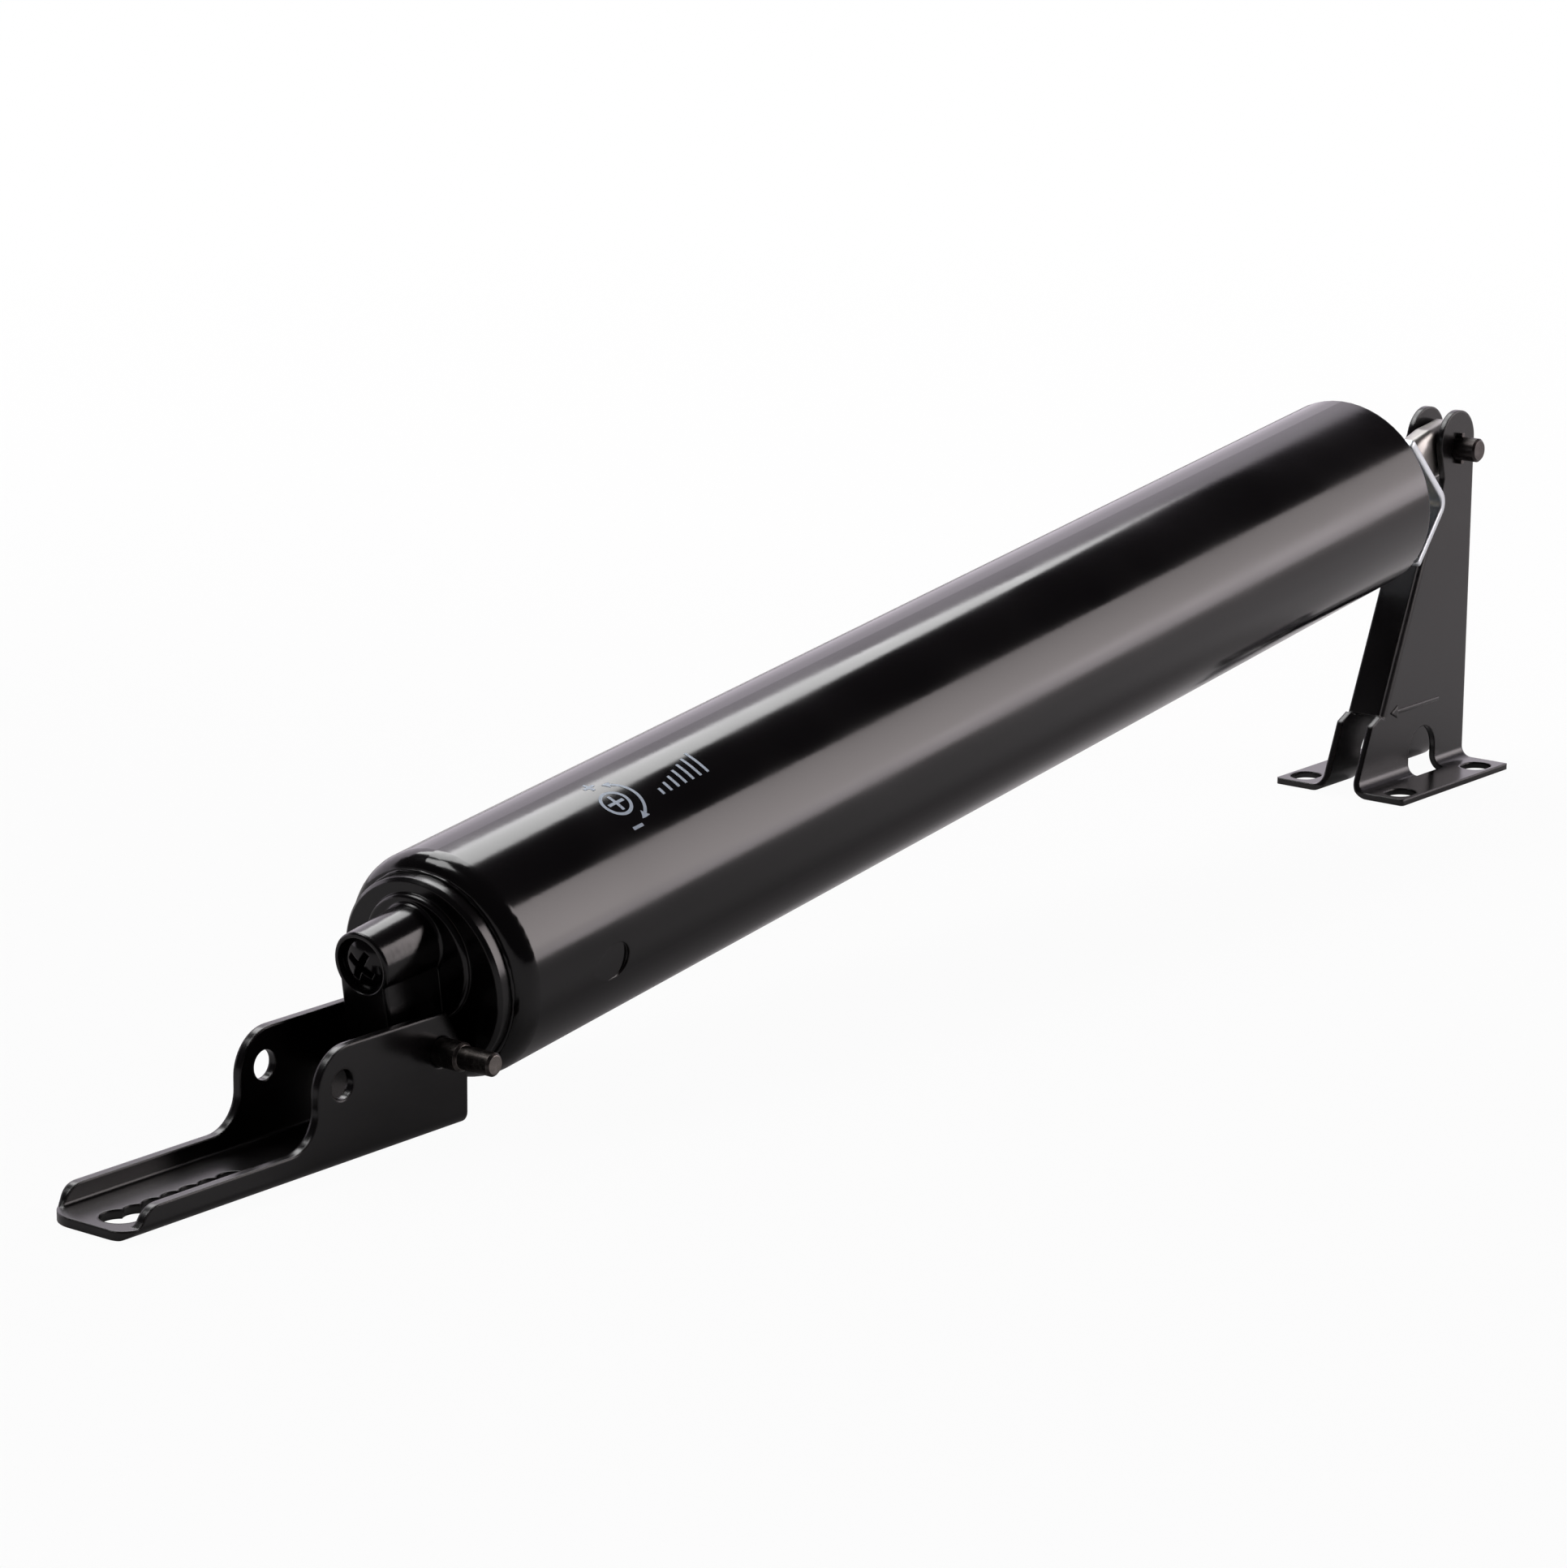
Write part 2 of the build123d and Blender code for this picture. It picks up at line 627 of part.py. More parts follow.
# Open retaining ring in the tube's groove
ring_r = bore_r + RING_GROOVE - SMALL_FIT
with BuildPart() as retaining_ring:
    with BuildSketch(across(guide_back)):
        Circle(ring_r)
        Circle(bore_r - RING_WIDTH, mode=Mode.SUBTRACT)
        with Locations((0, -bore_r)):
            Rectangle(RING_GAP, 3 * RING_WIDTH, mode=Mode.SUBTRACT)
    extrude(amount=RING_THICK)
retaining_ring.part.label = "retaining_ring"
export_step(retaining_ring.part, "parts/retaining_ring.step")

# Hold-open washer: bent plate with a short and a long leg, its bend away from the tube
upper_tilt = radians(WASHER_UPPER_TILT)
lower_tilt = radians(WASHER_LOWER_TILT)
upper_reach = WASHER_UPPER * sin(upper_tilt)
washer_apex = tube_back + upper_reach + WASHER_THICK * cos(upper_tilt) + WASHER_GAP
washer_side = Plane(
    origin=start + along * washer_apex - up * WASHER_APEX_DROP, x_dir=along, z_dir=near
)
with BuildPart() as hold_open_washer:
    with BuildSketch(washer_side):
        with BuildLine() as outer_face:
            Polyline(
                (-upper_reach, WASHER_UPPER * cos(upper_tilt)),
                (0, 0),
                (-WASHER_LOWER * sin(lower_tilt), -WASHER_LOWER * cos(lower_tilt)),
            )
            fillet(outer_face.vertices().sort_by(Axis.X)[-1], radius=WASHER_BEND_R)
            offset(amount=WASHER_THICK, side=Side.RIGHT)
        make_face()
    extrude(amount=WASHER_WIDTH / 2, both=True)
    corners = hold_open_washer.edges().filter_by(
        lambda edge: abs(edge.length - WASHER_THICK) < 0.01
    )
    fillet(corners, radius=WASHER_CORNER)
    with BuildSketch(across(tube_back)):
        with Locations((0, -WASHER_HOLE_DROP)):
            Circle(WASHER_HOLE_R)
    extrude(amount=2 * WASHER_UPPER, mode=Mode.SUBTRACT)
hold_open_washer.part.label = "hold_open_washer"
export_step(hold_open_washer.part, "parts/hold_open_washer.step")

# Door bracket: channel with two ears, folded round a base with a stepped slot
with BuildPart() as door_bracket:
    with BuildSketch(Plane.YZ.offset(-DOOR_TOE)) as section:
        Rectangle(DOOR_WIDTH, DOOR_EAR_TOP, align=(Align.CENTER, Align.MIN))
        fillet(section.vertices().group_by(Axis.Y)[0], radius=DOOR_BEND_R)
        with Locations((0, DOOR_SHEET)):
            Rectangle(
                DOOR_WIDTH - 2 * DOOR_SHEET,
                DOOR_EAR_TOP,
                align=(Align.CENTER, Align.MIN),
                mode=Mode.SUBTRACT,
            )
    extrude(amount=DOOR_TOE + DOOR_HEEL)
    inner_corners = door_bracket.edges().filter_by(Axis.X).filter_by(
        lambda edge: abs(edge.center().Z - DOOR_SHEET) < 0.01
    )
    fillet(inner_corners, radius=DOOR_BEND_R - DOOR_SHEET)
    # Side outline of ears and rails
    ear_back = -DOOR_EAR_BACK
    rail_end = -DOOR_RAIL_END
    with BuildSketch(door_side):
        with BuildLine():
            Polyline(
                (-DOOR_TOE, 0),
                (DOOR_HEEL, 0),
                (DOOR_HEEL, DOOR_EAR_SLANT),
                (DOOR_EAR_FLAT, DOOR_EAR_TOP),
                (ear_back + DOOR_EAR_R, DOOR_EAR_TOP),
            )
            CenterArc((ear_back + DOOR_EAR_R, DOOR_EAR_TOP - DOOR_EAR_R), DOOR_EAR_R, 90, 90)
            Line(
                (ear_back, DOOR_EAR_TOP - DOOR_EAR_R), (ear_back, DOOR_RAIL + DOOR_EAR_FOOT_R)
            )
            CenterArc(
                (ear_back - DOOR_EAR_FOOT_R, DOOR_RAIL + DOOR_EAR_FOOT_R),
                DOOR_EAR_FOOT_R,
                -90,
                90,
            )
            Line((ear_back - DOOR_EAR_FOOT_R, DOOR_RAIL), (rail_end, DOOR_RAIL))
            TangentArc(
                (rail_end, DOOR_RAIL),
                (rail_end - DOOR_RAIL_FALL, DOOR_SHEET + DOOR_RAIL_STEP),
                tangent=(-1, 0),
            )
            Polyline(
                (rail_end - DOOR_RAIL_FALL, DOOR_SHEET + DOOR_RAIL_STEP),
                (rail_end - DOOR_RAIL_FALL - DOOR_RAIL_STEP, DOOR_SHEET),
                (-DOOR_TOE, DOOR_SHEET),
                (-DOOR_TOE, 0),
            )
        make_face()
    extrude(amount=DOOR_WIDTH, both=True, mode=Mode.INTERSECT)
    # Rounded toe in plan
    with BuildSketch(Plane.XY) as plan:
        Rectangle(2 * DOOR_TOE, DOOR_WIDTH)
        fillet(plan.vertices().group_by(Axis.Y)[0], radius=DOOR_TOE_NEAR_R)
        fillet(plan.vertices().group_by(Axis.Y)[-1], radius=DOOR_TOE_FAR_R)
    extrude(amount=DOOR_EAR_TOP, mode=Mode.INTERSECT)
    # Slot: round entry and a chain of overlapping steps
    with BuildSketch(Plane.XY):
        with Locations((-SLOT_START, SLOT_OFFSET)):
            Circle(SLOT_ENTRY_R)
        for step in range(1, SLOT_STEPS + 1):
            with Locations((-SLOT_START + step * SLOT_PITCH, SLOT_OFFSET)):
                Circle(SLOT_R)
    extrude(amount=DOOR_SHEET, mode=Mode.SUBTRACT)
    # Pin holes: one in use and a spare one further back
    with BuildSketch(door_side):
        with Locations((0, DOOR_PIN_HEIGHT), (-SPARE_HOLE_AT, DOOR_PIN_HEIGHT)):
            Circle(hole_r)
    extrude(amount=DOOR_WIDTH, both=True, mode=Mode.SUBTRACT)
door_bracket.part.label = "door_bracket"
export_step(door_bracket.part, "parts/door_bracket.step")

# Door pin: headed on the far side, stepped down at the near end
door_half = DOOR_WIDTH / 2
with BuildPart() as door_pin:
    with BuildSketch(door_side.offset(-door_half)):
        with Locations((0, DOOR_PIN_HEIGHT)):
            Circle(pin_r)
    extrude(amount=door_half + DOOR_PIN_REACH)
    with BuildSketch(door_side.offset(DOOR_PIN_REACH)):
        with Locations((0, DOOR_PIN_HEIGHT)):
            Circle(DOOR_PIN_TIP_R)
    extrude(amount=DOOR_PIN_TIP)
    chamfer(door_pin.edges().filter_by(GeomType.CIRCLE).sort_by(Axis.Y)[0:2], length=PIN_CHAMFER)
    with BuildSketch(door_side.offset(-door_half)):
        with Locations((0, DOOR_PIN_HEIGHT)):
            Circle(DOOR_PIN_HEAD_R)
    extrude(amount=-DOOR_PIN_HEAD)
    fillet(door_pin.edges().filter_by(GeomType.CIRCLE).sort_by(Axis.Y)[-1], radius=DOOR_PIN_ROUND)
door_pin.part.label = "door_pin"
export_step(door_pin.part, "parts/door_pin.step")

# Jamb bracket: two legs on outward feet, joined by a sloping web
jamb_half = JAMB_GAP / 2 + JAMB_SHEET
foot_bend_out = JAMB_FOOT_BEND + JAMB_SHEET
foot_start = jamb_half + JAMB_FOOT_BEND
head_at = (JAMB_HEAD_FRONT - JAMB_HEAD_R, JAMB_PIN_HEIGHT + JAMB_HEAD_RISE)
head_top = JAMB_PIN_HEIGHT + JAMB_HEAD_RISE + JAMB_HEAD_R
web_run = Vector(JAMB_WEB_TOP[0] - JAMB_WEB_FOOT[0], 0, JAMB_WEB_TOP[1] - JAMB_WEB_FOOT[1])
web_plane = Plane(
    origin=(jamb_x + JAMB_WEB_FOOT[0], 0, JAMB_WEB_FOOT[1]), x_dir=(0, 1, 0), z_dir=web_run
)
with BuildPart() as jamb_bracket:
    with BuildSketch(Plane.YZ.offset(jamb_x - JAMB_TOE)):
        with BuildLine():
            Polyline(
                (jamb_half - JAMB_SHEET, head_top + 1),
                (jamb_half - JAMB_SHEET, foot_bend_out),
            )
            CenterArc((foot_start, foot_bend_out), foot_bend_out, 180, 90)
            Polyline(
                (foot_start, 0),
                (JAMB_FOOT_HALF, 0),
                (JAMB_FOOT_HALF, JAMB_SHEET),
                (foot_start, JAMB_SHEET),
            )
            CenterArc((foot_start, foot_bend_out), JAMB_FOOT_BEND, 180, 90)
            Polyline(
                (jamb_half, foot_bend_out),
                (jamb_half, head_top + 1),
                (jamb_half - JAMB_SHEET, head_top + 1),
            )
        make_face()
        mirror(about=Plane.YZ)
    extrude(amount=JAMB_TOE + JAMB_FRONT)
    # Side outline: round head, neck, web slope and splayed toe
    with BuildSketch(jamb_side):
        with BuildLine():
            Polyline(
                (-JAMB_TOE, JAMB_SHEET), (-JAMB_TOE, 0), (JAMB_FRONT, 0), (JAMB_HEAD_FRONT, head_at[1])
            )
            head = CenterArc(head_at, JAMB_HEAD_R, 0, 200)
            Line(head @ 1, JAMB_NECK_END)
            ThreePointArc(JAMB_NECK_END, JAMB_NECK_MIDDLE, JAMB_WEB_TOP)
            Polyline(
                JAMB_WEB_TOP,
                JAMB_WEB_FOOT,
                JAMB_WEB_HEEL,
                (-JAMB_TOE, JAMB_SHEET),
            )
        make_face()
    extrude(amount=JAMB_FOOT_HALF, both=True, mode=Mode.INTERSECT)
    # Web with its two bends to the legs
    with BuildSketch(web_plane):
        with Locations((0, -JAMB_BEND_R / 2)):
            Rectangle(2 * jamb_half, JAMB_BEND_R)
        with Locations((0, -2 * JAMB_BEND_R)):
            RectangleRounded(2 * jamb_half, 4 * JAMB_BEND_R, JAMB_BEND_R, mode=Mode.SUBTRACT)
    extrude(amount=web_run.length, mode=Mode.SUBTRACT)
    # Its inner corners are flats as wide as keep the sheet's thickness through the bend
    web_corner = (JAMB_BEND_R - JAMB_SHEET) * (2 - sqrt(2))
    with BuildSketch(web_plane):
        with Locations((0, -(JAMB_SHEET + web_corner) / 2)):
            Rectangle(JAMB_GAP + JAMB_SHEET, JAMB_SHEET + web_corner)
        with BuildLine():
            Polyline(
                (-JAMB_GAP / 2, -JAMB_GAP),
                (-JAMB_GAP / 2, -JAMB_SHEET - web_corner),
                (-JAMB_GAP / 2 + web_corner, -JAMB_SHEET),
                (JAMB_GAP / 2 - web_corner, -JAMB_SHEET),
                (JAMB_GAP / 2, -JAMB_SHEET - web_corner),
                (JAMB_GAP / 2, -JAMB_GAP),
                close=True,
            )
        make_face(mode=Mode.SUBTRACT)
    extrude(amount=web_run.length)
    # Arched notches through the foot of each leg
    notch_r_centre = NOTCH_TOP - NOTCH_HALF
    for centre, way in ((NOTCH_NEAR, 1), (NOTCH_FAR, -1)):
        with BuildSketch(jamb_side.offset(way * JAMB_GAP / 4)):
            with Locations((centre, notch_r_centre)):
                Circle(NOTCH_HALF)
            with Locations((centre, 0)):
                Rectangle(2 * NOTCH_HALF, notch_r_centre, align=(Align.CENTER, Align.MIN))
        extrude(amount=way * (foot_start - JAMB_GAP / 4), mode=Mode.SUBTRACT)
    # Screw slots in the feet
    with BuildSketch(Plane.XY):
        with Locations((jamb_x - JAMB_HOLE_PITCH / 2, 0)):
            with GridLocations(JAMB_HOLE_PITCH, 2 * JAMB_HOLE_HALF, 2, 2):
                SlotOverall(JAMB_HOLE_LENGTH, JAMB_HOLE_WIDTH)
    extrude(amount=JAMB_SHEET, mode=Mode.SUBTRACT)
    with BuildSketch(jamb_side):
        with Locations((0, JAMB_PIN_HEIGHT)):
            Circle(hole_r)
    extrude(amount=JAMB_FOOT_HALF, both=True, mode=Mode.SUBTRACT)
    foot_corners = jamb_bracket.edges().filter_by(Axis.Z).filter_by(
        lambda edge: abs(abs(edge.center().Y) - JAMB_FOOT_HALF) < 0.01
    )
    fillet(foot_corners, radius=JAMB_FOOT_CORNER)
jamb_bracket.part.label = "jamb_bracket"
export_step(jamb_bracket.part, "parts/jamb_bracket.step")

# Jamb pin: round head on the far side, staked wings outside the near leg
with BuildPart() as jamb_pin:
    with BuildSketch(jamb_side.offset(-jamb_half)):
        with Locations((0, JAMB_PIN_HEIGHT)):
            Circle(pin_r)
    extrude(amount=jamb_half + JAMB_PIN_REACH)
    chamfer(jamb_pin.edges().filter_by(GeomType.CIRCLE).sort_by(Axis.Y)[0], length=PIN_CHAMFER)
    with BuildSketch(jamb_side.offset(-jamb_half)):
        with Locations((0, JAMB_PIN_HEIGHT)):
            Circle(JAMB_PIN_HEAD_R)
    extrude(amount=-JAMB_PIN_HEAD)
    fillet(jamb_pin.edges().filter_by(GeomType.CIRCLE).sort_by(Axis.Y)[-1], radius=JAMB_PIN_ROUND)
    with BuildSketch(jamb_side.offset(jamb_half)):
        with Locations((0, JAMB_PIN_HEIGHT)):
            Rectangle(WING_THICK, WING_SPAN)
    extrude(amount=WING_THICK)
jamb_pin.part.label = "jamb_pin"
export_step(jamb_pin.part, "parts/jamb_pin.step")
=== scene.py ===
"""Looks of the storm door closer: its enamels, plating, print and the studio round it."""

import json
from math import cos, pi, radians, sin, tau

import bmesh
import bpy
from bpy.props import FloatProperty, PointerProperty, StringProperty
from mathutils import Matrix, Vector


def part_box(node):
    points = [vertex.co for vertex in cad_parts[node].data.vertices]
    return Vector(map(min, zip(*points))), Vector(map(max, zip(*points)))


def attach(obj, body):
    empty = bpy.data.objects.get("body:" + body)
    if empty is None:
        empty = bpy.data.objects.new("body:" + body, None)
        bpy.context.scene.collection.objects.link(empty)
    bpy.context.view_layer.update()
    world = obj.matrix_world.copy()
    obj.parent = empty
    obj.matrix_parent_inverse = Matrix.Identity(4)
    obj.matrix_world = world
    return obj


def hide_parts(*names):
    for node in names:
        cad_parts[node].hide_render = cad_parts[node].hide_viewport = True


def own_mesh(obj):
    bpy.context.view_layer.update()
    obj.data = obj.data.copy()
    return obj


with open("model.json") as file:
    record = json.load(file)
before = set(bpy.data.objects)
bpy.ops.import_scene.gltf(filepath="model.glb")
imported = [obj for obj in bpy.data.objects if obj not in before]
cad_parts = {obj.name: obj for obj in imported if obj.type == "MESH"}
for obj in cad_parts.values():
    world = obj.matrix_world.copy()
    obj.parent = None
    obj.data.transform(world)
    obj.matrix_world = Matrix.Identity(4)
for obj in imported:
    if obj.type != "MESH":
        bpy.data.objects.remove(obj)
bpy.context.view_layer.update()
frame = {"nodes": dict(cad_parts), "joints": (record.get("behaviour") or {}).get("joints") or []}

bl_info = {
    "name": "Door Closer Finish",
    "version": (1, 0, 0),
    "blender": (4, 5, 0),
    "location": "3D View > Sidebar > Door Closer",
    "description": "Finishes the parts of a pneumatic door closer and sets up its studio",
    "category": "Object",
}

MM = 0.001
WHITE = (1, 1, 1, 1)

# Joints of the frame that give the tube's axis
JOINTS = {joint["name"]: joint for joint in frame["joints"]}
ROD_EYE = Vector(JOINTS["jamb_pivot"]["pos_m"])
ALONG = Vector(JOINTS["valve_turn"]["axis"]).normalized()
SQUARE = Vector((0, 1, 0)).cross(ALONG).normalized() * -1
TUBE_RADIUS = (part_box("barrel_tube")[1].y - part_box("barrel_tube")[0].y) / 2
TUBE_FRONT = min((v.co - ROD_EYE).dot(ALONG) for v in frame["nodes"]["barrel_tube"].data.vertices)

# Jamb bracket: outer face of its near leg, from the middle plane
LEG_FACE = 4.1 * MM

# Spring wire: sRGB colours of the drawn steel and of its oil film
WIRE = ("#6f6a64", "#4b443d")

# Camera: the photograph's frame, in the model's own coordinates
IMAGE_WIDTH = 1931
FOCAL_PIXELS = 6386.65
SENSOR_MM = 36.0
CAMERA_PLACE = Vector((-0.578185, -0.525293, 0.248027))
CAMERA_FORWARD = Vector((0.766464, 0.595691, -0.240179))
CAMERA_UP = Vector((0.183981, 0.154651, 0.970687))

# Right softbox: its middle and its size
SIDE_PLACE = Vector((1.2, -0.77, 0.5))
SIDE_SIZE = (1.3, 1.0)

# Back softbox: a point of its face, what it is aimed at, its edges from that point (left, right,
# low, high), and the angle and place of the cut across its upper right corner
BACK_PLACE = Vector((0.5, 0.36, 0.74))
BACK_AIM = Vector((0.12, 0, 0.05))
BACK_FACE = (-0.45, 0.27, -0.215, 0.3)
BACK_CUT = radians(30)
BACK_CUT_AT = (0.27, -0.11)

# Left softbox: its middle, the way its level side runs, and its size
LEFT_PLACE = Vector((-0.63, 1.115, 2.15))
LEFT_ALONG = Vector((1.115, 0.63, 0))
LEFT_SIZE = (1.0, 1.0)


def tube_point(station, turn, lift):
    """Point off the tube's skin: metres from its front, radians up from the near side."""
    outward = Vector((0, -1, 0)) * cos(turn) + SQUARE * sin(turn)
    return ROD_EYE + ALONG * (TUBE_FRONT + station) + outward * (TUBE_RADIUS + lift)


def linear(hex_colour):
    """A written sRGB colour as linear red, green, blue and full alpha."""
    parts = [int(hex_colour[i : i + 2], 16) / 255 for i in (1, 3, 5)]
    return tuple(c / 12.92 if c <= 0.04045 else ((c + 0.055) / 1.055) ** 2.4 for c in parts) + (1,)


def add(tree, kind, values=None, links=None, **settings):
    """Add a node with its settings, the values of its sockets and the links into them."""
    made = tree.nodes.new(kind)
    for name, value in settings.items():
        setattr(made, name, value)
    for socket, value in (values or {}).items():
        made.inputs[socket].default_value = value
    for socket, source in (links or {}).items():
        tree.links.new(source, made.inputs[socket])
    return made


def new_material(name):
    """An empty node material and its tree."""
    material = bpy.data.materials.new(name)
    material.use_nodes = True
    material.node_tree.nodes.clear()
    return material, material.node_tree


def finish_node(name, material):
    """Give a part of the frame its finish."""
    part = frame["nodes"][name]
    for slot in part.material_slots:
        slot.material = material
    if not part.material_slots:
        part.data.materials.append(material)


def new_piece(name, mesh_maker, material, body):
    """Build a mesh piece, finish it and let it ride on a body."""
    work = bmesh.new()
    mesh_maker(work)
    mesh = bpy.data.meshes.new(name)
    work.to_mesh(mesh)
    work.free()
    mesh.materials.append(material)
    piece = bpy.data.objects.new(name, mesh)
    bpy.context.scene.collection.objects.link(piece)
    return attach(piece, body)


def enamel(name, settings, roughness, edge_radius, lump_width, lump_depth):
    """Black stoving enamel, sprayed and baked.

    It is a smooth deep black whose skin has fine orange peel, with dust caught in it, and it
    draws thin and brownish over every sharp edge, where handling has rubbed it.
    """
    streak, drift_width, nib_pitch, nib_height = 5 * MM, 22 * MM, 4.5 * MM, 0.02 * MM
    material, tree = new_material(name)
    place = add(tree, "ShaderNodeTexCoord").outputs["Object"]
    face = add(tree, "ShaderNodeNewGeometry").outputs["Normal"]
    rounded = add(tree, "ShaderNodeBevel", {"Radius": edge_radius}, samples=6).outputs["Normal"]
    # Edge wear: where the rounded normal leaves the true one, in streaks of a few millimetres
    same = add(
        tree, "ShaderNodeVectorMath", links={0: rounded, 1: face}, operation="DOT_PRODUCT"
    ).outputs["Value"]
    edge = add(
        tree, "ShaderNodeMapRange", {"From Min": 0.985, "From Max": 0.8}, {"Value": same}
    ).outputs["Result"]
    patches = add(tree, "ShaderNodeTexNoise", {"Scale": 1 / streak}, {"Vector": place}).outputs["Fac"]
    rubbed = add(
        tree,
        "ShaderNodeMapRange",
        {"From Min": 0.48, "From Max": 0.66, "To Max": settings.edge_wear},
        {"Value": patches},
    ).outputs["Result"]
    wear = add(
        tree, "ShaderNodeMath", links={0: edge, 1: rubbed}, operation="MULTIPLY"
    ).outputs["Value"]
    # Slow drift of the film from one end of a part to the other
    drift = add(
        tree, "ShaderNodeTexNoise", {"Scale": 1 / drift_width}, {"Vector": place}
    ).outputs["Fac"]
    film = add(
        tree,
        "ShaderNodeMix",
        {"A": linear(settings.colour_deep), "B": linear(settings.colour_thin)},
        {"Factor": drift},
        data_type="RGBA",
    )
    colour = add(
        tree,
        "ShaderNodeMix",
        {"B": linear(settings.colour_edge)},
        {"Factor": wear, "A": film.outputs["Result"]},
        data_type="RGBA",
    ).outputs["Result"]
    gloss = add(
        tree,
        "ShaderNodeMapRange",
        {"From Min": 0.3, "From Max": 0.7, "To Min": roughness - 0.03, "To Max": roughness + 0.05},
        {"Value": drift},
    ).outputs["Result"]
    # Worn places are duller, by as much as the film has gone
    worn_gloss = add(
        tree, "ShaderNodeMath", links={0: wear, 1: gloss, 2: gloss}, operation="MULTIPLY_ADD"
    ).outputs["Value"]
    # Orange peel, then the slower lumps of the surface underneath
    peel = add(
        tree,
        "ShaderNodeTexNoise",
        {"Scale": 1 / settings.peel_pitch, "Detail": 1.0},
        {"Vector": place},
    ).outputs["Fac"]
    swell = add(
        tree, "ShaderNodeTexNoise", {"Scale": 1 / lump_width}, {"Vector": place}
    ).outputs["Fac"]
    # Dust nibs under the film, a few in each square centimetre
    nibs = add(
        tree, "ShaderNodeTexVoronoi", {"Scale": 1 / nib_pitch}, {"Vector": place}
    ).outputs["Distance"]
    nib = add(
        tree, "ShaderNodeMapRange", {"From Max": 0.035, "To Min": 1.0, "To Max": 0.0}, {"Value": nibs}
    ).outputs["Result"]
    normal = rounded
    for height, strength, depth in (
        (peel, 1.0, settings.peel_depth),
        (swell, 1.0, lump_depth),
        (nib, 0.5, nib_height),
    ):
        values = {"Strength": strength, "Distance": depth}
        links = {"Height": height, "Normal": normal}
        normal = add(tree, "ShaderNodeBump", values, links).outputs["Normal"]
    shader = add(
        tree,
        "ShaderNodeBsdfPrincipled",
        {"IOR": 1.5},
        {"Base Color": colour, "Roughness": worn_gloss, "Normal": normal},
    )
    add(tree, "ShaderNodeOutputMaterial", links={"Surface": shader.outputs["BSDF"]})
    return material


def plated_steel(name, colour_clear, colour_cloudy, roughness, edge_radius, grain):
    """Bright zinc on cold-rolled steel, barrel plated and blue passivated.

    It is a cool silver with soft clouds, rounded at its tumbled edges, with fine rolling lines.
    The lines are coarser than the real ones, so that they show.
    """
    cloud, line_long, line_wide, dent = 5 * MM, 9 * MM, 0.3 * MM, 1.8 * MM
    material, tree = new_material(name)
    place = add(tree, "ShaderNodeTexCoord").outputs["Object"]
    rounded = add(tree, "ShaderNodeBevel", {"Radius": edge_radius}, samples=6).outputs["Normal"]
    clouds = add(
        tree,
        "ShaderNodeTexNoise",
        {"Scale": 1 / cloud, "Detail": 5.0, "Roughness": 0.6},
        {"Vector": place},
    ).outputs["Fac"]
    stretch = add(
        tree,
        "ShaderNodeMapping",
        {"Scale": (1 / line_long, 1 / line_wide, 1 / line_wide)},
        {"Vector": place},
    ).outputs["Vector"]
    lines = add(
        tree, "ShaderNodeTexNoise", {"Scale": 1.0, "Detail": 3.0}, {"Vector": stretch}
    ).outputs["Fac"]
    dents = add(
        tree, "ShaderNodeTexVoronoi", {"Scale": 1 / dent}, {"Vector": place}, feature="SMOOTH_F1"
    ).outputs["Distance"]
    colour = add(
        tree,
        "ShaderNodeMix",
        {"A": linear(colour_clear), "B": linear(colour_cloudy)},
        {"Factor": clouds},
        data_type="RGBA",
    ).outputs["Result"]
    dull = add(
        tree,
        "ShaderNodeMapRange",
        {"From Min": 0.3, "From Max": 0.75, "To Min": roughness - 0.06, "To Max": roughness + 0.12},
        {"Value": clouds},
    ).outputs["Result"]
    normal = rounded
    for height, strength, depth in ((lines, grain, 0.012 * MM), (dents, 0.35, 0.02 * MM)):
        values = {"Strength": strength, "Distance": depth}
        links = {"Height": height, "Normal": normal}
        normal = add(tree, "ShaderNodeBump", values, links).outputs["Normal"]
    shader = add(
        tree,
        "ShaderNodeBsdfPrincipled",
        {"Metallic": 1.0},
        {"Base Color": colour, "Roughness": dull, "Normal": normal},
    )
    add(tree, "ShaderNodeOutputMaterial", links={"Surface": shader.outputs["BSDF"]})
    return material


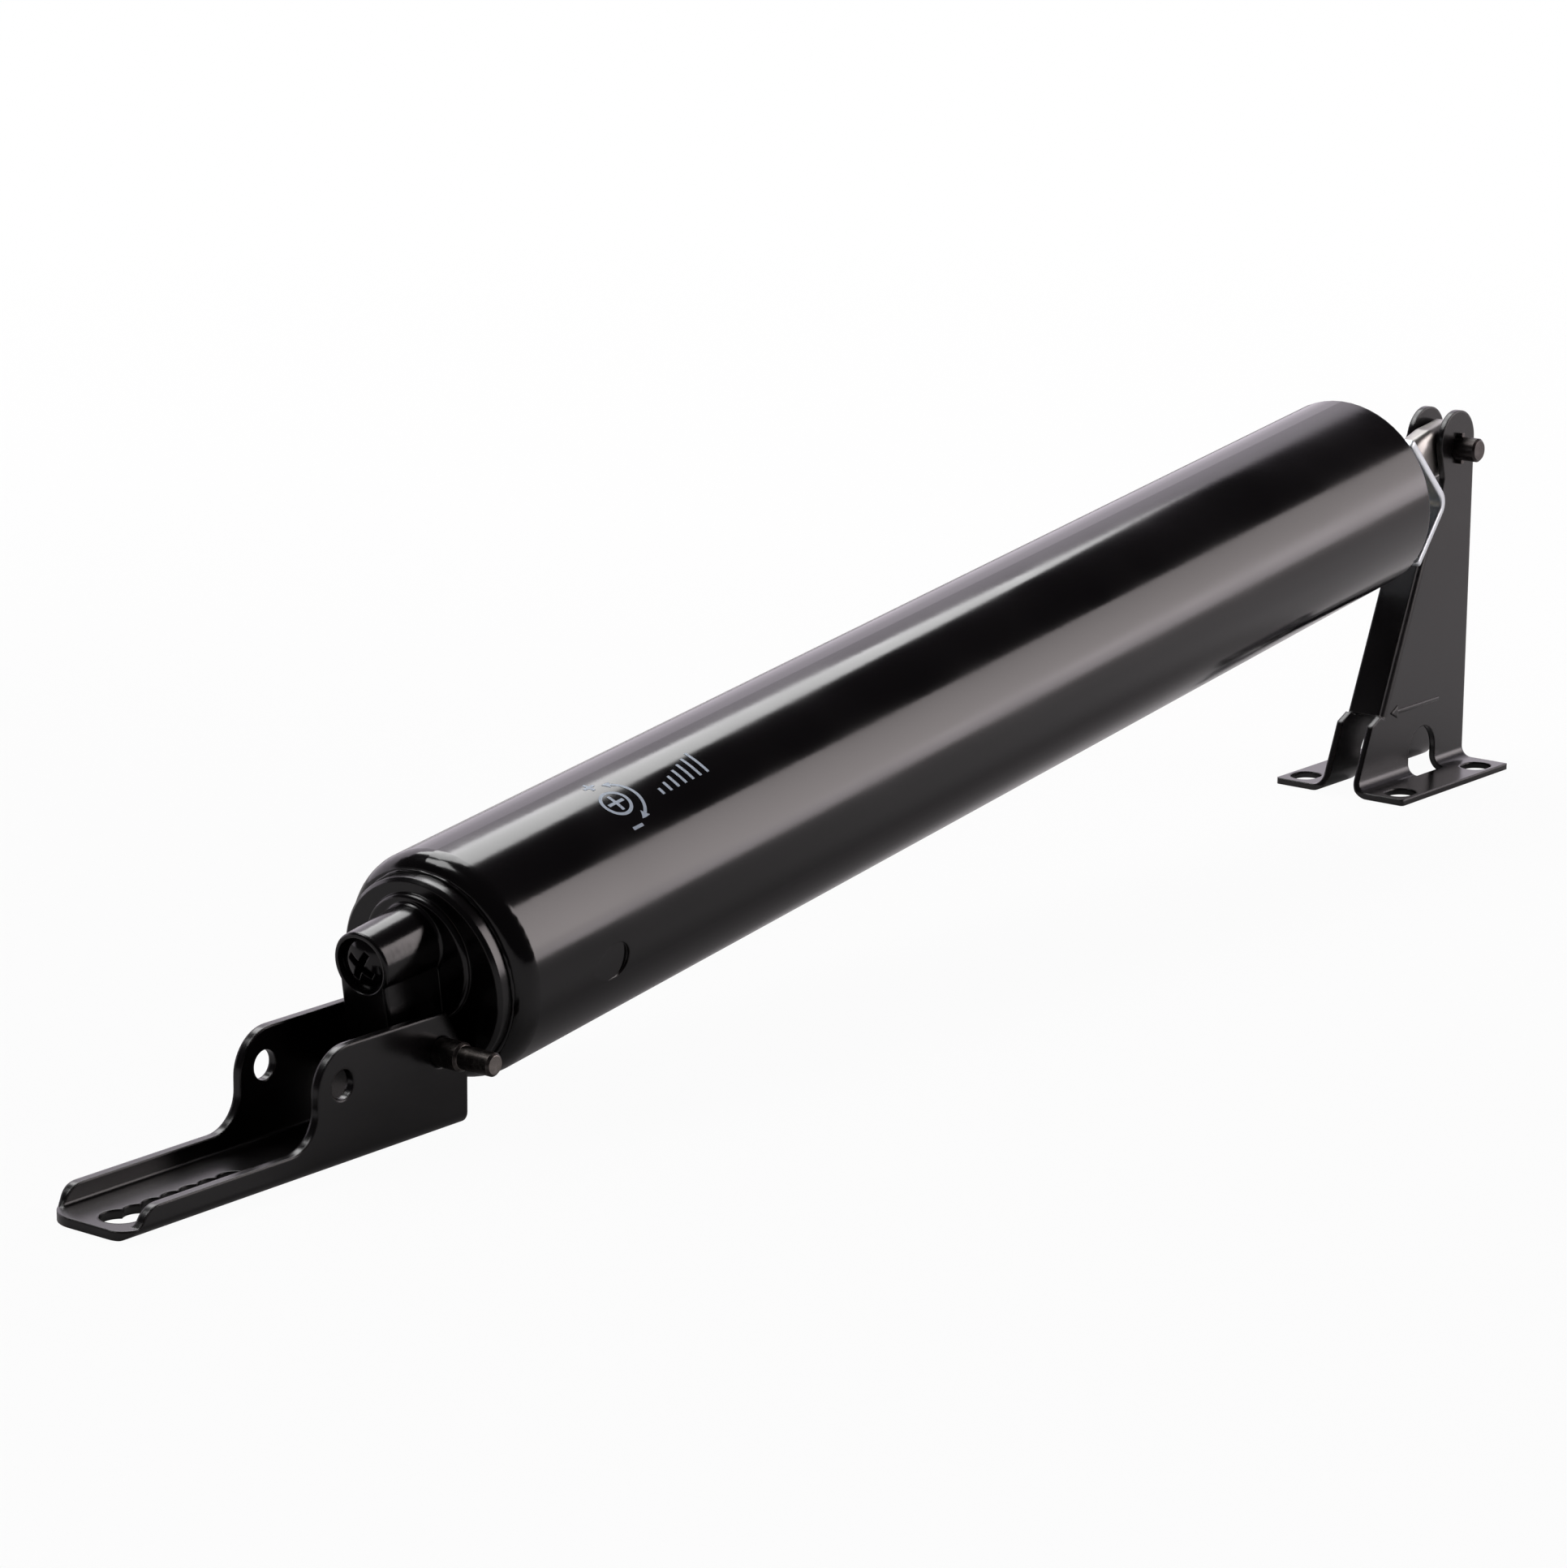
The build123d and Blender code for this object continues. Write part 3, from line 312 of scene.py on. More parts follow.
def blackened_steel(name, colour_film, colour_bare, roughness, edge_radius):
    """Free-cutting steel, turned and then blackened in a hot oxide bath.

    It is a dark satin grey-brown with turning rings a tenth of a millimetre apart, drawn a
    dozen times as coarse here, so that they show. The film has worn to bare steel on its
    edges and sheared end faces.
    """
    patch, ring_pitch = 1.6 * MM, 1.2566 * MM
    material, tree = new_material(name)
    place = add(tree, "ShaderNodeTexCoord").outputs["Object"]
    face = add(tree, "ShaderNodeNewGeometry").outputs["Normal"]
    rounded = add(tree, "ShaderNodeBevel", {"Radius": edge_radius}, samples=6).outputs["Normal"]
    same = add(
        tree, "ShaderNodeVectorMath", links={0: rounded, 1: face}, operation="DOT_PRODUCT"
    ).outputs["Value"]
    edge = add(
        tree,
        "ShaderNodeMapRange",
        {"From Min": 0.985, "From Max": 0.8, "To Max": 0.8},
        {"Value": same},
    ).outputs["Result"]
    patches = add(
        tree,
        "ShaderNodeTexNoise",
        {"Scale": 1 / patch, "Detail": 5.0, "Roughness": 0.7},
        {"Vector": place},
    ).outputs["Fac"]
    thin = add(
        tree,
        "ShaderNodeMapRange",
        {"From Min": 0.5, "From Max": 0.75, "To Max": 0.35},
        {"Value": patches},
    ).outputs["Result"]
    sideways = add(tree, "ShaderNodeSeparateXYZ", links={"Vector": face}).outputs["Y"]
    sheared = add(tree, "ShaderNodeMath", links={0: sideways}, operation="ABSOLUTE").outputs["Value"]
    end_face = add(
        tree,
        "ShaderNodeMapRange",
        {"From Min": 0.9, "From Max": 0.97, "To Max": 0.7},
        {"Value": sheared},
    ).outputs["Result"]
    rubbed = add(
        tree, "ShaderNodeMath", links={0: edge, 1: end_face}, operation="MAXIMUM"
    ).outputs["Value"]
    bare = add(
        tree, "ShaderNodeMath", links={0: rubbed, 1: thin}, operation="ADD", use_clamp=True
    ).outputs["Value"]
    colour = add(
        tree,
        "ShaderNodeMix",
        {"A": linear(colour_film), "B": linear(colour_bare)},
        {"Factor": bare},
        data_type="RGBA",
    ).outputs["Result"]
    dull = add(
        tree,
        "ShaderNodeMapRange",
        {"From Min": 0.3, "From Max": 0.7, "To Min": roughness - 0.05, "To Max": roughness + 0.1},
        {"Value": patches},
    ).outputs["Result"]
    rings = add(
        tree,
        "ShaderNodeTexWave",
        {"Scale": tau / (20 * ring_pitch), "Distortion": 0.6, "Detail": 1.0},
        {"Vector": place},
        wave_type="BANDS",
        bands_direction="Y",
    ).outputs["Fac"]
    normal = add(
        tree,
        "ShaderNodeBump",
        {"Strength": 0.1, "Distance": 0.01 * MM},
        {"Height": rings, "Normal": rounded},
    ).outputs["Normal"]
    shader = add(
        tree,
        "ShaderNodeBsdfPrincipled",
        {"Metallic": 0.85},
        {"Base Color": colour, "Roughness": dull, "Normal": normal},
    )
    add(tree, "ShaderNodeOutputMaterial", links={"Surface": shader.outputs["BSDF"]})
    return material


def cast_zinc(name, colour_bright, colour_dark):
    """Raw zinc, die cast and left as it came, inside the tube.

    It is a soft bluish grey with faint flow marks and a slightly grained cast skin.
    """
    flow_width, grain_size = 6 * MM, 0.5 * MM
    material, tree = new_material(name)
    place = add(tree, "ShaderNodeTexCoord").outputs["Object"]
    flow = add(
        tree,
        "ShaderNodeTexNoise",
        {"Scale": 1 / flow_width, "Detail": 4.0, "Distortion": 1.2},
        {"Vector": place},
    ).outputs["Fac"]
    grain = add(
        tree, "ShaderNodeTexNoise", {"Scale": 1 / grain_size}, {"Vector": place}
    ).outputs["Fac"]
    colour = add(
        tree,
        "ShaderNodeMix",
        {"A": linear(colour_bright), "B": linear(colour_dark)},
        {"Factor": flow},
        data_type="RGBA",
    ).outputs["Result"]
    dull = add(
        tree,
        "ShaderNodeMapRange",
        {"From Min": 0.3, "From Max": 0.7, "To Min": 0.38, "To Max": 0.55},
        {"Value": flow},
    ).outputs["Result"]
    normal = add(
        tree, "ShaderNodeBump", {"Strength": 0.4, "Distance": 0.02 * MM}, {"Height": grain}
    ).outputs["Normal"]
    shader = add(
        tree,
        "ShaderNodeBsdfPrincipled",
        {"Metallic": 1.0},
        {"Base Color": colour, "Roughness": dull, "Normal": normal},
    )
    add(tree, "ShaderNodeOutputMaterial", links={"Surface": shader.outputs["BSDF"]})
    return material


def spring_wire(name, colour_drawn, colour_oiled):
    """Hard-drawn spring steel, left in its drawing oil.

    It is a grey-brown satin wire, blotched and faintly scored by the die.
    """
    blotch = 0.6 * MM
    material, tree = new_material(name)
    place = add(tree, "ShaderNodeTexCoord").outputs["Object"]
    streaks = add(
        tree, "ShaderNodeTexNoise", {"Scale": 1 / blotch, "Detail": 3.0}, {"Vector": place}
    ).outputs["Fac"]
    colour = add(
        tree,
        "ShaderNodeMix",
        {"A": linear(colour_drawn), "B": linear(colour_oiled)},
        {"Factor": streaks},
        data_type="RGBA",
    ).outputs["Result"]
    dull = add(
        tree,
        "ShaderNodeMapRange",
        {"From Min": 0.3, "From Max": 0.7, "To Min": 0.28, "To Max": 0.42},
        {"Value": streaks},
    ).outputs["Result"]
    normal = add(
        tree, "ShaderNodeBump", {"Strength": 0.3, "Distance": 0.01 * MM}, {"Height": streaks}
    ).outputs["Normal"]
    shader = add(
        tree,
        "ShaderNodeBsdfPrincipled",
        {"Metallic": 1.0},
        {"Base Color": colour, "Roughness": dull, "Normal": normal},
    )
    add(tree, "ShaderNodeOutputMaterial", links={"Surface": shader.outputs["BSDF"]})
    return material


def moulded(name, colour_body, colour_bloom, roughness, ior, grain_size):
    """A moulded soft part, nitrile rubber or natural nylon by its colours.

    It is dull, with a fine moulded grain and a faint bloom in patches.
    """
    bloom_width = 4 * MM
    material, tree = new_material(name)
    place = add(tree, "ShaderNodeTexCoord").outputs["Object"]
    bloom = add(
        tree, "ShaderNodeTexNoise", {"Scale": 1 / bloom_width, "Detail": 4.0}, {"Vector": place}
    ).outputs["Fac"]
    grain = add(
        tree, "ShaderNodeTexNoise", {"Scale": 1 / grain_size}, {"Vector": place}
    ).outputs["Fac"]
    colour = add(
        tree,
        "ShaderNodeMix",
        {"A": linear(colour_body), "B": linear(colour_bloom)},
        {"Factor": bloom},
        data_type="RGBA",
    ).outputs["Result"]
    dull = add(
        tree,
        "ShaderNodeMapRange",
        {"From Min": 0.3, "From Max": 0.7, "To Min": roughness - 0.05, "To Max": roughness + 0.1},
        {"Value": bloom},
    ).outputs["Result"]
    normal = add(
        tree, "ShaderNodeBump", {"Strength": 0.3, "Distance": 0.02 * MM}, {"Height": grain}
    ).outputs["Normal"]
    shader = add(
        tree,
        "ShaderNodeBsdfPrincipled",
        {"IOR": ior},
        {"Base Color": colour, "Roughness": dull, "Normal": normal},
    )
    add(tree, "ShaderNodeOutputMaterial", links={"Surface": shader.outputs["BSDF"]})
    return material


def screen_ink(name, colour_ink, colour_under):
    """Pale grey screen-printing ink on the enamel.

    It is matt and thin, so the mesh of the screen and small pinholes let the black through.
    """
    screen_pitch = 0.35 * MM
    material, tree = new_material(name)
    place = add(tree, "ShaderNodeTexCoord").outputs["Object"]
    cover = add(
        tree,
        "ShaderNodeTexNoise",
        {"Scale": 1 / screen_pitch, "Detail": 3.0, "Roughness": 0.7},
        {"Vector": place},
    ).outputs["Fac"]
    thin = add(
        tree,
        "ShaderNodeMapRange",
        {"From Min": 0.56, "From Max": 0.74, "To Max": 0.75},
        {"Value": cover},
    ).outputs["Result"]
    colour = add(
        tree,
        "ShaderNodeMix",
        {"A": linear(colour_ink), "B": linear(colour_under)},
        {"Factor": thin},
        data_type="RGBA",
    ).outputs["Result"]
    normal = add(
        tree, "ShaderNodeBump", {"Strength": 0.4, "Distance": 0.01 * MM}, {"Height": cover}
    ).outputs["Normal"]
    shader = add(
        tree,
        "ShaderNodeBsdfPrincipled",
        {"IOR": 1.48, "Roughness": 0.55},
        {"Base Color": colour, "Normal": normal},
    )
    add(tree, "ShaderNodeOutputMaterial", links={"Surface": shader.outputs["BSDF"]})
    return material


class EnamelSettings(bpy.types.PropertyGroup):
    """Black enamel of the tube, plug and brackets."""

    colour_deep: StringProperty(
        name="Deep black", description="sRGB colour where the film is thick", default="#050405"
    )
    colour_thin: StringProperty(
        name="Thin black", description="sRGB colour where the film is thin", default="#0a0809"
    )
    colour_edge: StringProperty(
        name="Rubbed edge", description="sRGB colour of a rubbed edge", default="#4a3f37"
    )
    tube_roughness: FloatProperty(
        name="Tube roughness", description="Gloss on the drawn tube", default=0.13, min=0.05, max=0.6
    )
    plug_roughness: FloatProperty(
        name="Plug roughness", description="Gloss on the die casting", default=0.19, min=0.05, max=0.6
    )
    sheet_roughness: FloatProperty(
        name="Sheet roughness", description="Gloss on the brackets", default=0.22, min=0.05, max=0.6
    )
    edge_radius: FloatProperty(
        name="Edge radius",
        description="How round the film draws over a sharp edge",
        default=0.35 * MM,
        unit="LENGTH",
    )
    sheet_edge: FloatProperty(
        name="Sheet edge radius",
        description="How round the tumbled edges of the brackets are",
        default=0.6 * MM,
        unit="LENGTH",
    )
    edge_wear: FloatProperty(
        name="Edge wear",
        description="How much of the film is rubbed off the edges",
        default=0.35,
        min=0,
        max=1,
        subtype="FACTOR",
    )
    peel_pitch: FloatProperty(
        name="Orange peel pitch",
        description="Distance between the dimples of the orange peel",
        default=1.9 * MM,
        unit="LENGTH",
    )
    peel_depth: FloatProperty(
        name="Orange peel depth",
        description="Depth of the dimples of the orange peel",
        default=0.006 * MM,
        unit="LENGTH",
    )


class MetalSettings(bpy.types.PropertyGroup):
    """Bare and plated metals of the rod, washer, pins and screw."""

    zinc_clear: StringProperty(
        name="Zinc", description="sRGB colour of the clear plating", default="#e9edef"
    )
    zinc_cloudy: StringProperty(
        name="Cloudy zinc", description="sRGB colour of the cloudy plating", default="#c6ced4"
    )
    bar_clear: StringProperty(
        name="Bar", description="sRGB colour of the drawn bar", default="#b0aeaa"
    )
    bar_cloudy: StringProperty(
        name="Cloudy bar", description="sRGB colour of the bar's duller clouds", default="#8e8c89"
    )
    oxide: StringProperty(
        name="Oxide film", description="sRGB colour of the blackened steel", default="#2f2b2a"
    )
    thin_oxide: StringProperty(
        name="Thin oxide", description="sRGB colour of the door pin's thin film", default="#3b3735"
    )
    dark_steel: StringProperty(
        name="Dark steel", description="sRGB colour of the jamb pin's worn film", default="#5d5856"
    )
    bare: StringProperty(
        name="Bare steel", description="sRGB colour where the oxide has worn", default="#938d88"
    )


class PrintSettings(bpy.types.PropertyGroup):
    """Adjusting sign printed on the tube."""

    ink: StringProperty(name="Ink", description="sRGB colour of the ink", default="#aab6c4")
    under: StringProperty(
        name="Thin ink", description="sRGB colour where the black shows through", default="#2b2e33"
    )
    station: FloatProperty(
        name="Distance from the front",
        description="From the tube's front edge to the middle of the screw sign",
        default=37.2 * MM,
        unit="LENGTH",
    )
    turn: FloatProperty(
        name="Turn",
        description="Angle up from the near side to the middle of the screw sign",
        default=radians(62.8),
        subtype="ANGLE",
    )
    ring: FloatProperty(
        name="Sign diameter",
        description="Outer diameter of the screw sign",
        default=5.8 * MM,
        unit="LENGTH",
    )
    line: FloatProperty(
        name="Line width", description="Width of the printed lines", default=0.6 * MM, unit="LENGTH"
    )


class StudioSettings(bpy.types.PropertyGroup):
    """Softboxes, backdrop and floor."""

    side_radiance: FloatProperty(
        name="Side softbox", description="Brightness of the softbox at the right", default=4.7
    )
    side_colour: StringProperty(
        name="Side colour", description="sRGB colour of the softbox at the right", default="#fff5f5"
    )
    back_radiance: FloatProperty(
        name="Back softbox", description="Brightness of the softbox over the back", default=5.2
    )
    back_colour: StringProperty(
        name="Back colour", description="sRGB colour of the softbox over the back", default="#ffffff"
    )
    left_radiance: FloatProperty(
        name="Left softbox", description="Brightness of the softbox at the left", default=6.0
    )
    backdrop: FloatProperty(
        name="Backdrop", description="Brightness of the backdrop in reflections", default=1.15
    )
    backdrop_colour: StringProperty(
        name="Backdrop colour", description="sRGB colour of the backdrop", default="#fdf4ff"
    )
    # Painted shade: the floor's darker colour at its left stands in for the shade there
    floor_left_painted_shade: StringProperty(
        name="Floor at the left", description="sRGB colour of the floor's left", default="#a09d9e"
    )
    # Painted light: the floor's paler colour at its right stands in for the big softbox's light
    floor_right_painted_light: StringProperty(
        name="Floor at the right", description="sRGB colour of the floor's right", default="#cfcccd"
    )


class CLOSER_OT_enamel(bpy.types.Operator):
    """Finish the enamelled tube, plug and brackets"""

    bl_idname = "closer.enamel"
    bl_label = "Enamelled parts"

    def execute(self, context):
        settings = context.scene.closer_enamel
        soft, sheet_edge = settings.edge_radius, settings.sheet_edge
        tube, cast = settings.tube_roughness, settings.plug_roughness
        sheet = settings.sheet_roughness
        brackets = ("door_bracket", "jamb_bracket")
        # What it is on, its roughness and edge radius, width and depth of its lumps in mm, parts
        for on, roughness, radius, lumps, depth, parts in (
            ("drawn_tube", tube, soft, 30, 0.004, ("barrel_tube",)),
            ("casting", cast, soft, 3.2, 0.03, ("end_plug",)),
            ("folded_sheet", sheet, sheet_edge, 12, 0.008, brackets),
            ("screw", tube, soft, 2.0, 0.01, ("adjusting_screw",)),
        ):
            name = "stoved_enamel_on_" + on
            finish = enamel(name, settings, roughness, radius, lumps * MM, depth * MM)
            for part in parts:
                finish_node(part, finish)
        return {"FINISHED"}


class CLOSER_OT_metals(bpy.types.Operator):
    """Finish the plated rod and washer and the blackened pins"""

    bl_idname = "closer.metals"
    bl_label = "Metal parts"

    def execute(self, context):
        settings = context.scene.closer_metals
        tumbled = {"roughness": 0.32, "edge_radius": 0.9 * MM}
        turned = {"roughness": 0.3, "edge_radius": 0.2 * MM}
        bar = settings.bar_clear, settings.bar_cloudy
        strip = settings.zinc_clear, settings.zinc_cloudy
        thin = settings.thin_oxide, settings.bare
        black = settings.oxide, settings.dark_steel
        finishes = {
            "rod": plated_steel("satin_plated_bar", *bar, grain=0.5, **tumbled),
            "hold_open_washer": plated_steel("bright_zinc_on_strip", *strip, grain=0.3, **tumbled),
            "door_pin": blackened_steel("thinly_blackened_steel", *thin, **turned),
            "jamb_pin": blackened_steel("blackened_steel", *black, **turned),
        }
        for part, finish in finishes.items():
            finish_node(part, finish)
        return {"FINISHED"}


class CLOSER_OT_inner(bpy.types.Operator):
    """Finish the parts inside the tube"""

    bl_idname = "closer.inner"
    bl_label = "Inner parts"

    def execute(self, context):
        plain = {"roughness": 0.35, "edge_radius": 0.2 * MM, "grain": 0.4}
        rubber = {"roughness": 0.62, "ior": 1.52, "grain_size": 0.4 * MM}
        nylon = {"roughness": 0.42, "ior": 1.53, "grain_size": 0.6 * MM}
        for finish, parts in (
            (cast_zinc("raw_zinc_casting", "#a9adb1", "#8b9094"), ("piston", "rod_guide")),
            (
                plated_steel("plain_zinc_on_steel", "#c6c9c8", "#a7abab", **plain),
                ("piston_nut", "cup_washer", "spring_seat"),
            ),
            (spring_wire("oiled_spring_wire", *WIRE), ("retaining_ring",)),
            (
                moulded("moulded_nitrile_rubber", "#171616", "#2a2826", **rubber),
                ("piston_cup", "plug_seal", "screw_seal"),
            ),
            (moulded("moulded_natural_nylon", "#d9d2bd", "#c9c0a6", **nylon), ("guide_bushing",)),
        ):
            for part in parts:
                finish_node(part, finish)
        return {"FINISHED"}


class CLOSER_OT_spring(bpy.types.Operator):
    """Wind the return spring and let it ride on the rod assembly"""

    bl_idname = "closer.spring"
    bl_label = "Return spring"

    wire = 2.6 * MM
    mean_radius = 13.4 * MM
    turns = 12
    steps = 36
    sides = 10

    def reach(self):
        """Where the spring starts and ends along the tube, measured from the rod's eye."""
        corners = frame["nodes"]["return_spring"].data.vertices
        along = [(corner.co - ROD_EYE).dot(ALONG) for corner in corners]
        return min(along), max(along)

    def coil(self, work):
        """Round wire wound at one pitch, with both ends cut square."""
        low, high = self.reach()
        start, length = low + self.wire / 2, high - low - self.wire
        side = SQUARE.cross(ALONG)
        total = self.turns * self.steps
        rows = []
        for i in range(total + 1):
            a = -tau * i / self.steps
            out = SQUARE * cos(a) + side * sin(a)
            on = (side * cos(a) - SQUARE * sin(a)) * -tau * self.turns * self.mean_radius
            on = (on + ALONG * length).normalized()
            across = on.cross(out)
            middle = ROD_EYE + ALONG * (start + length * i / total) + out * self.mean_radius
            row = []
            for j in range(self.sides):
                b = tau * j / self.sides
                row.append(work.verts.new(middle + (out * cos(b) + across * sin(b)) * self.wire / 2))
            rows.append(row)
        for here, there in zip(rows, rows[1:]):
            for j in range(self.sides):
                k = (j + 1) % self.sides
                face = work.faces.new((here[j], here[k], there[k], there[j]))
                face.smooth = True
        work.faces.new(rows[0])
        work.faces.new(rows[-1])
        bmesh.ops.recalc_face_normals(work, faces=work.faces)

    def execute(self, context):
        finish = spring_wire("oiled_spring_wire_on_coil", *WIRE)
        coil = new_piece("return_coil", self.coil, finish, "rod_assembly")
        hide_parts("return_spring")
        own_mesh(coil)
        return {"FINISHED"}


class CLOSER_OT_print(bpy.types.Operator):
    """Print a screw sign, its turning arrow and a speed scale on the tube"""

    bl_idname = "closer.print"
    bl_label = "Adjusting sign"

    lift = 0.02 * MM
    # Screw sign: length of its cross as a share of the ring
    cross = 0.62
    # Turning arrow: its radius as a share of the ring, its reach to each side, and its heads'
    # length in line widths and half width as a share of their length
    arrow_radius = 0.86
    arrow_reach = radians(52)
    head_length = 2.6
    head_half = 0.55
    # Plus and minus: length of their bars, and where they stand round the sign
    sign = 2.4 * MM
    sign_away = 1.12
    sign_turn = 1.62
    # Speed scale: number of ticks, the first one's height and place, growth, pitch and foot
    ticks = 7
    tick_first, tick_growth = 1.4 * MM, 0.65 * MM
    tick_start, tick_pitch, tick_foot = 9.5 * MM, 1.9 * MM, -2.6 * MM

    def strip(self, work, inner, outer):
        """Faces between two rows of points on the flat print."""
        place = self.settings.station
        turn = self.settings.turn
        rows = [
            [work.verts.new(tube_point(place + u, turn + v / TUBE_RADIUS, self.lift)) for u, v in row]
            for row in (inner, outer)
        ]
        for i in range(len(inner) - 1):
            work.faces.new((rows[0][i], rows[0][i + 1], rows[1][i + 1], rows[1][i]))

    def arc(self, work, radius, width, start, end):
        """A printed arc about the sign's middle."""
        steps = 12 + int(abs(end - start) / tau * 48)
        angles = [start + (end - start) * i / steps for i in range(steps + 1)]
        rows = [
            [(r * cos(a), r * sin(a)) for a in angles]
            for r in (radius - width / 2, radius + width / 2)
        ]
        self.strip(work, rows[0], rows[1])

    def bar(self, work, u, v, long, wide):
        """A printed bar across the tube, long along v."""
        steps = max(2, int(long / (0.5 * MM)))
        across = [v - long / 2 + long * i / steps for i in range(steps + 1)]
        self.strip(work, [(u - wide / 2, y) for y in across], [(u + wide / 2, y) for y in across])

    def head(self, work, radius, angle, way, size):
        """An arrow head at the end of an arc, pointing along it."""
        steps = 6
        inner, outer = [], []
        for i in range(steps + 1):
            share = i / steps
            a = angle + way * share * size / radius
            half = size * self.head_half * (1 - share)
            inner.append(((radius - half) * cos(a), (radius - half) * sin(a)))
            outer.append(((radius + half) * cos(a), (radius + half) * sin(a)))
        self.strip(work, inner, outer)

    def screw_sign(self, work):
        """Screw head seen from its end: a ring and a cross."""
        ring, line = self.settings.ring, self.settings.line
        self.arc(work, (ring - line) / 2, line, 0, tau)
        slot = self.cross * ring
        self.bar(work, 0, 0, slot, line)
        for side in (-1, 1):
            self.bar(work, side * (slot + line) / 4, 0, line, (slot - line) / 2)

    def turn_arrow(self, work):
        """Double arrow about the ring, with a plus and a minus."""
        radius, line = self.arrow_radius * self.settings.ring, self.settings.line
        self.arc(work, radius, line, -self.arrow_reach, self.arrow_reach)
        for way in (-1, 1):
            self.head(work, radius, way * self.arrow_reach, way, self.head_length * line)
        away = radius * self.sign_away
        u, v = away * cos(self.sign_turn), away * sin(self.sign_turn)
        self.bar(work, u, v, line, self.sign)
        for side in (-1, 1):
            middle = v + side * (self.sign + line) / 4
            self.bar(work, u, middle, (self.sign - line) / 2, line)
        self.bar(work, u, -v, line, self.sign)

    def speed_scale(self, work):
        """Ticks that grow from slow to fast."""
        for i in range(self.ticks):
            tall = self.tick_first + self.tick_growth * i
            place = self.tick_start + self.tick_pitch * i
            self.bar(work, place, tall / 2 + self.tick_foot, tall, self.settings.line)

    def execute(self, context):
        self.settings = context.scene.closer_print
        ink = screen_ink("screen_printed_ink", self.settings.ink, self.settings.under)
        pieces = (
            ("printed_screw_sign", self.screw_sign),
            ("printed_turn_arrow", self.turn_arrow),
            ("printed_speed_scale", self.speed_scale),
        )
        for name, maker in pieces:
            new_piece(name, maker, ink, "barrel")
        return {"FINISHED"}


class CLOSER_OT_arrow(bpy.types.Operator):
    """Raise a plain arrow from the near leg of the jamb bracket"""

    bl_idname = "closer.arrow"
    bl_label = "Pressed arrow"

    tip = -22.5 * MM
    tail = -4.0 * MM
    height = 15.0 * MM
    shaft = 0.9 * MM
    head = 2.6 * MM
    sunk = 0.11 * MM
    thick = 0.33 * MM
    rounding = 0.132 * MM

    def raised(self, work):
        """Arrow outline on the leg, lifted and narrowed towards its top."""
        half, barb = self.shaft / 2, self.head / 2
        neck = self.tip + self.head
        outline = (
            (self.tip, 0),
            (neck, -barb),
            (neck, -half),
            (self.tail, -half),
            (self.tail, half),
            (neck, half),
            (neck, barb),
        )
        base = [
            work.verts.new((ROD_EYE.x + x, -LEG_FACE + self.sunk, self.height + z))
            for x, z in outline
        ]
        face = work.faces.new(base)
        lifted = bmesh.ops.extrude_face_region(work, geom=[face])["geom"]
        top = [v for v in lifted if isinstance(v, bmesh.types.BMVert)]
        bmesh.ops.translate(work, verts=top, vec=(0, -self.thick, 0))
        bmesh.ops.recalc_face_normals(work, faces=work.faces)
        rim = [e for e in work.edges if all(v in top for v in e.verts)]
        bmesh.ops.bevel(work, geom=rim, offset=self.rounding, segments=3, profile=0.6, affect="EDGES")

    def execute(self, context):
        settings = context.scene.closer_enamel
        dull, edge = settings.sheet_roughness, settings.sheet_edge
        finish = enamel("stoved_enamel_on_pressing", settings, dull, edge, 6 * MM, 0.006 * MM)
        new_piece("pressed_arrow", self.raised, finish, "jamb_mount")
        return {"FINISHED"}


class CLOSER_OT_seam(bpy.types.Operator):
    """Run a bead of enamel into the seam between the tube's crimp and the plug"""

    bl_idname = "closer.seam"
    bl_label = "Enamel bead"

    radius = 16.5 * MM
    bead = 0.32 * MM
    around = 240
    section = 8
    # Waves in the bead's thickness: depth, number round the tube and start
    waves = ((0.22, 7, 0.6), (0.16, 19, 2.1), (0.1, 41, 0.0))

    def ring(self, work):
        """A bead whose thickness wavers as run enamel does."""
        rows = []
        for i in range(self.around):
            a = tau * i / self.around
            waver = 1 + sum(depth * sin(count * a + start) for depth, count, start in self.waves)
            out = Vector((0, -1, 0)) * cos(a) + SQUARE * sin(a)
            middle = ROD_EYE + ALONG * TUBE_FRONT + out * self.radius
            row = []
            for j in range(self.section):
                b = tau * j / self.section
                row.append(
                    work.verts.new(middle + (ALONG * cos(b) + out * sin(b)) * self.bead * waver)
                )
            rows.append(row)
        for i in range(self.around):
            for j in range(self.section):
                here, there = rows[i], rows[(i + 1) % self.around]
                k = (j + 1) % self.section
                face = work.faces.new((here[j], there[j], there[k], here[k]))
                face.smooth = True
        bmesh.ops.recalc_face_normals(work, faces=work.faces)

    def execute(self, context):
        settings = context.scene.closer_enamel
        gloss, edge = settings.plug_roughness, settings.edge_radius
        finish = enamel("run_enamel_in_seam", settings, gloss, edge, 1.5 * MM, 0.02 * MM)
        new_piece("seam_bead", self.ring, finish, "barrel")
        return {"FINISHED"}


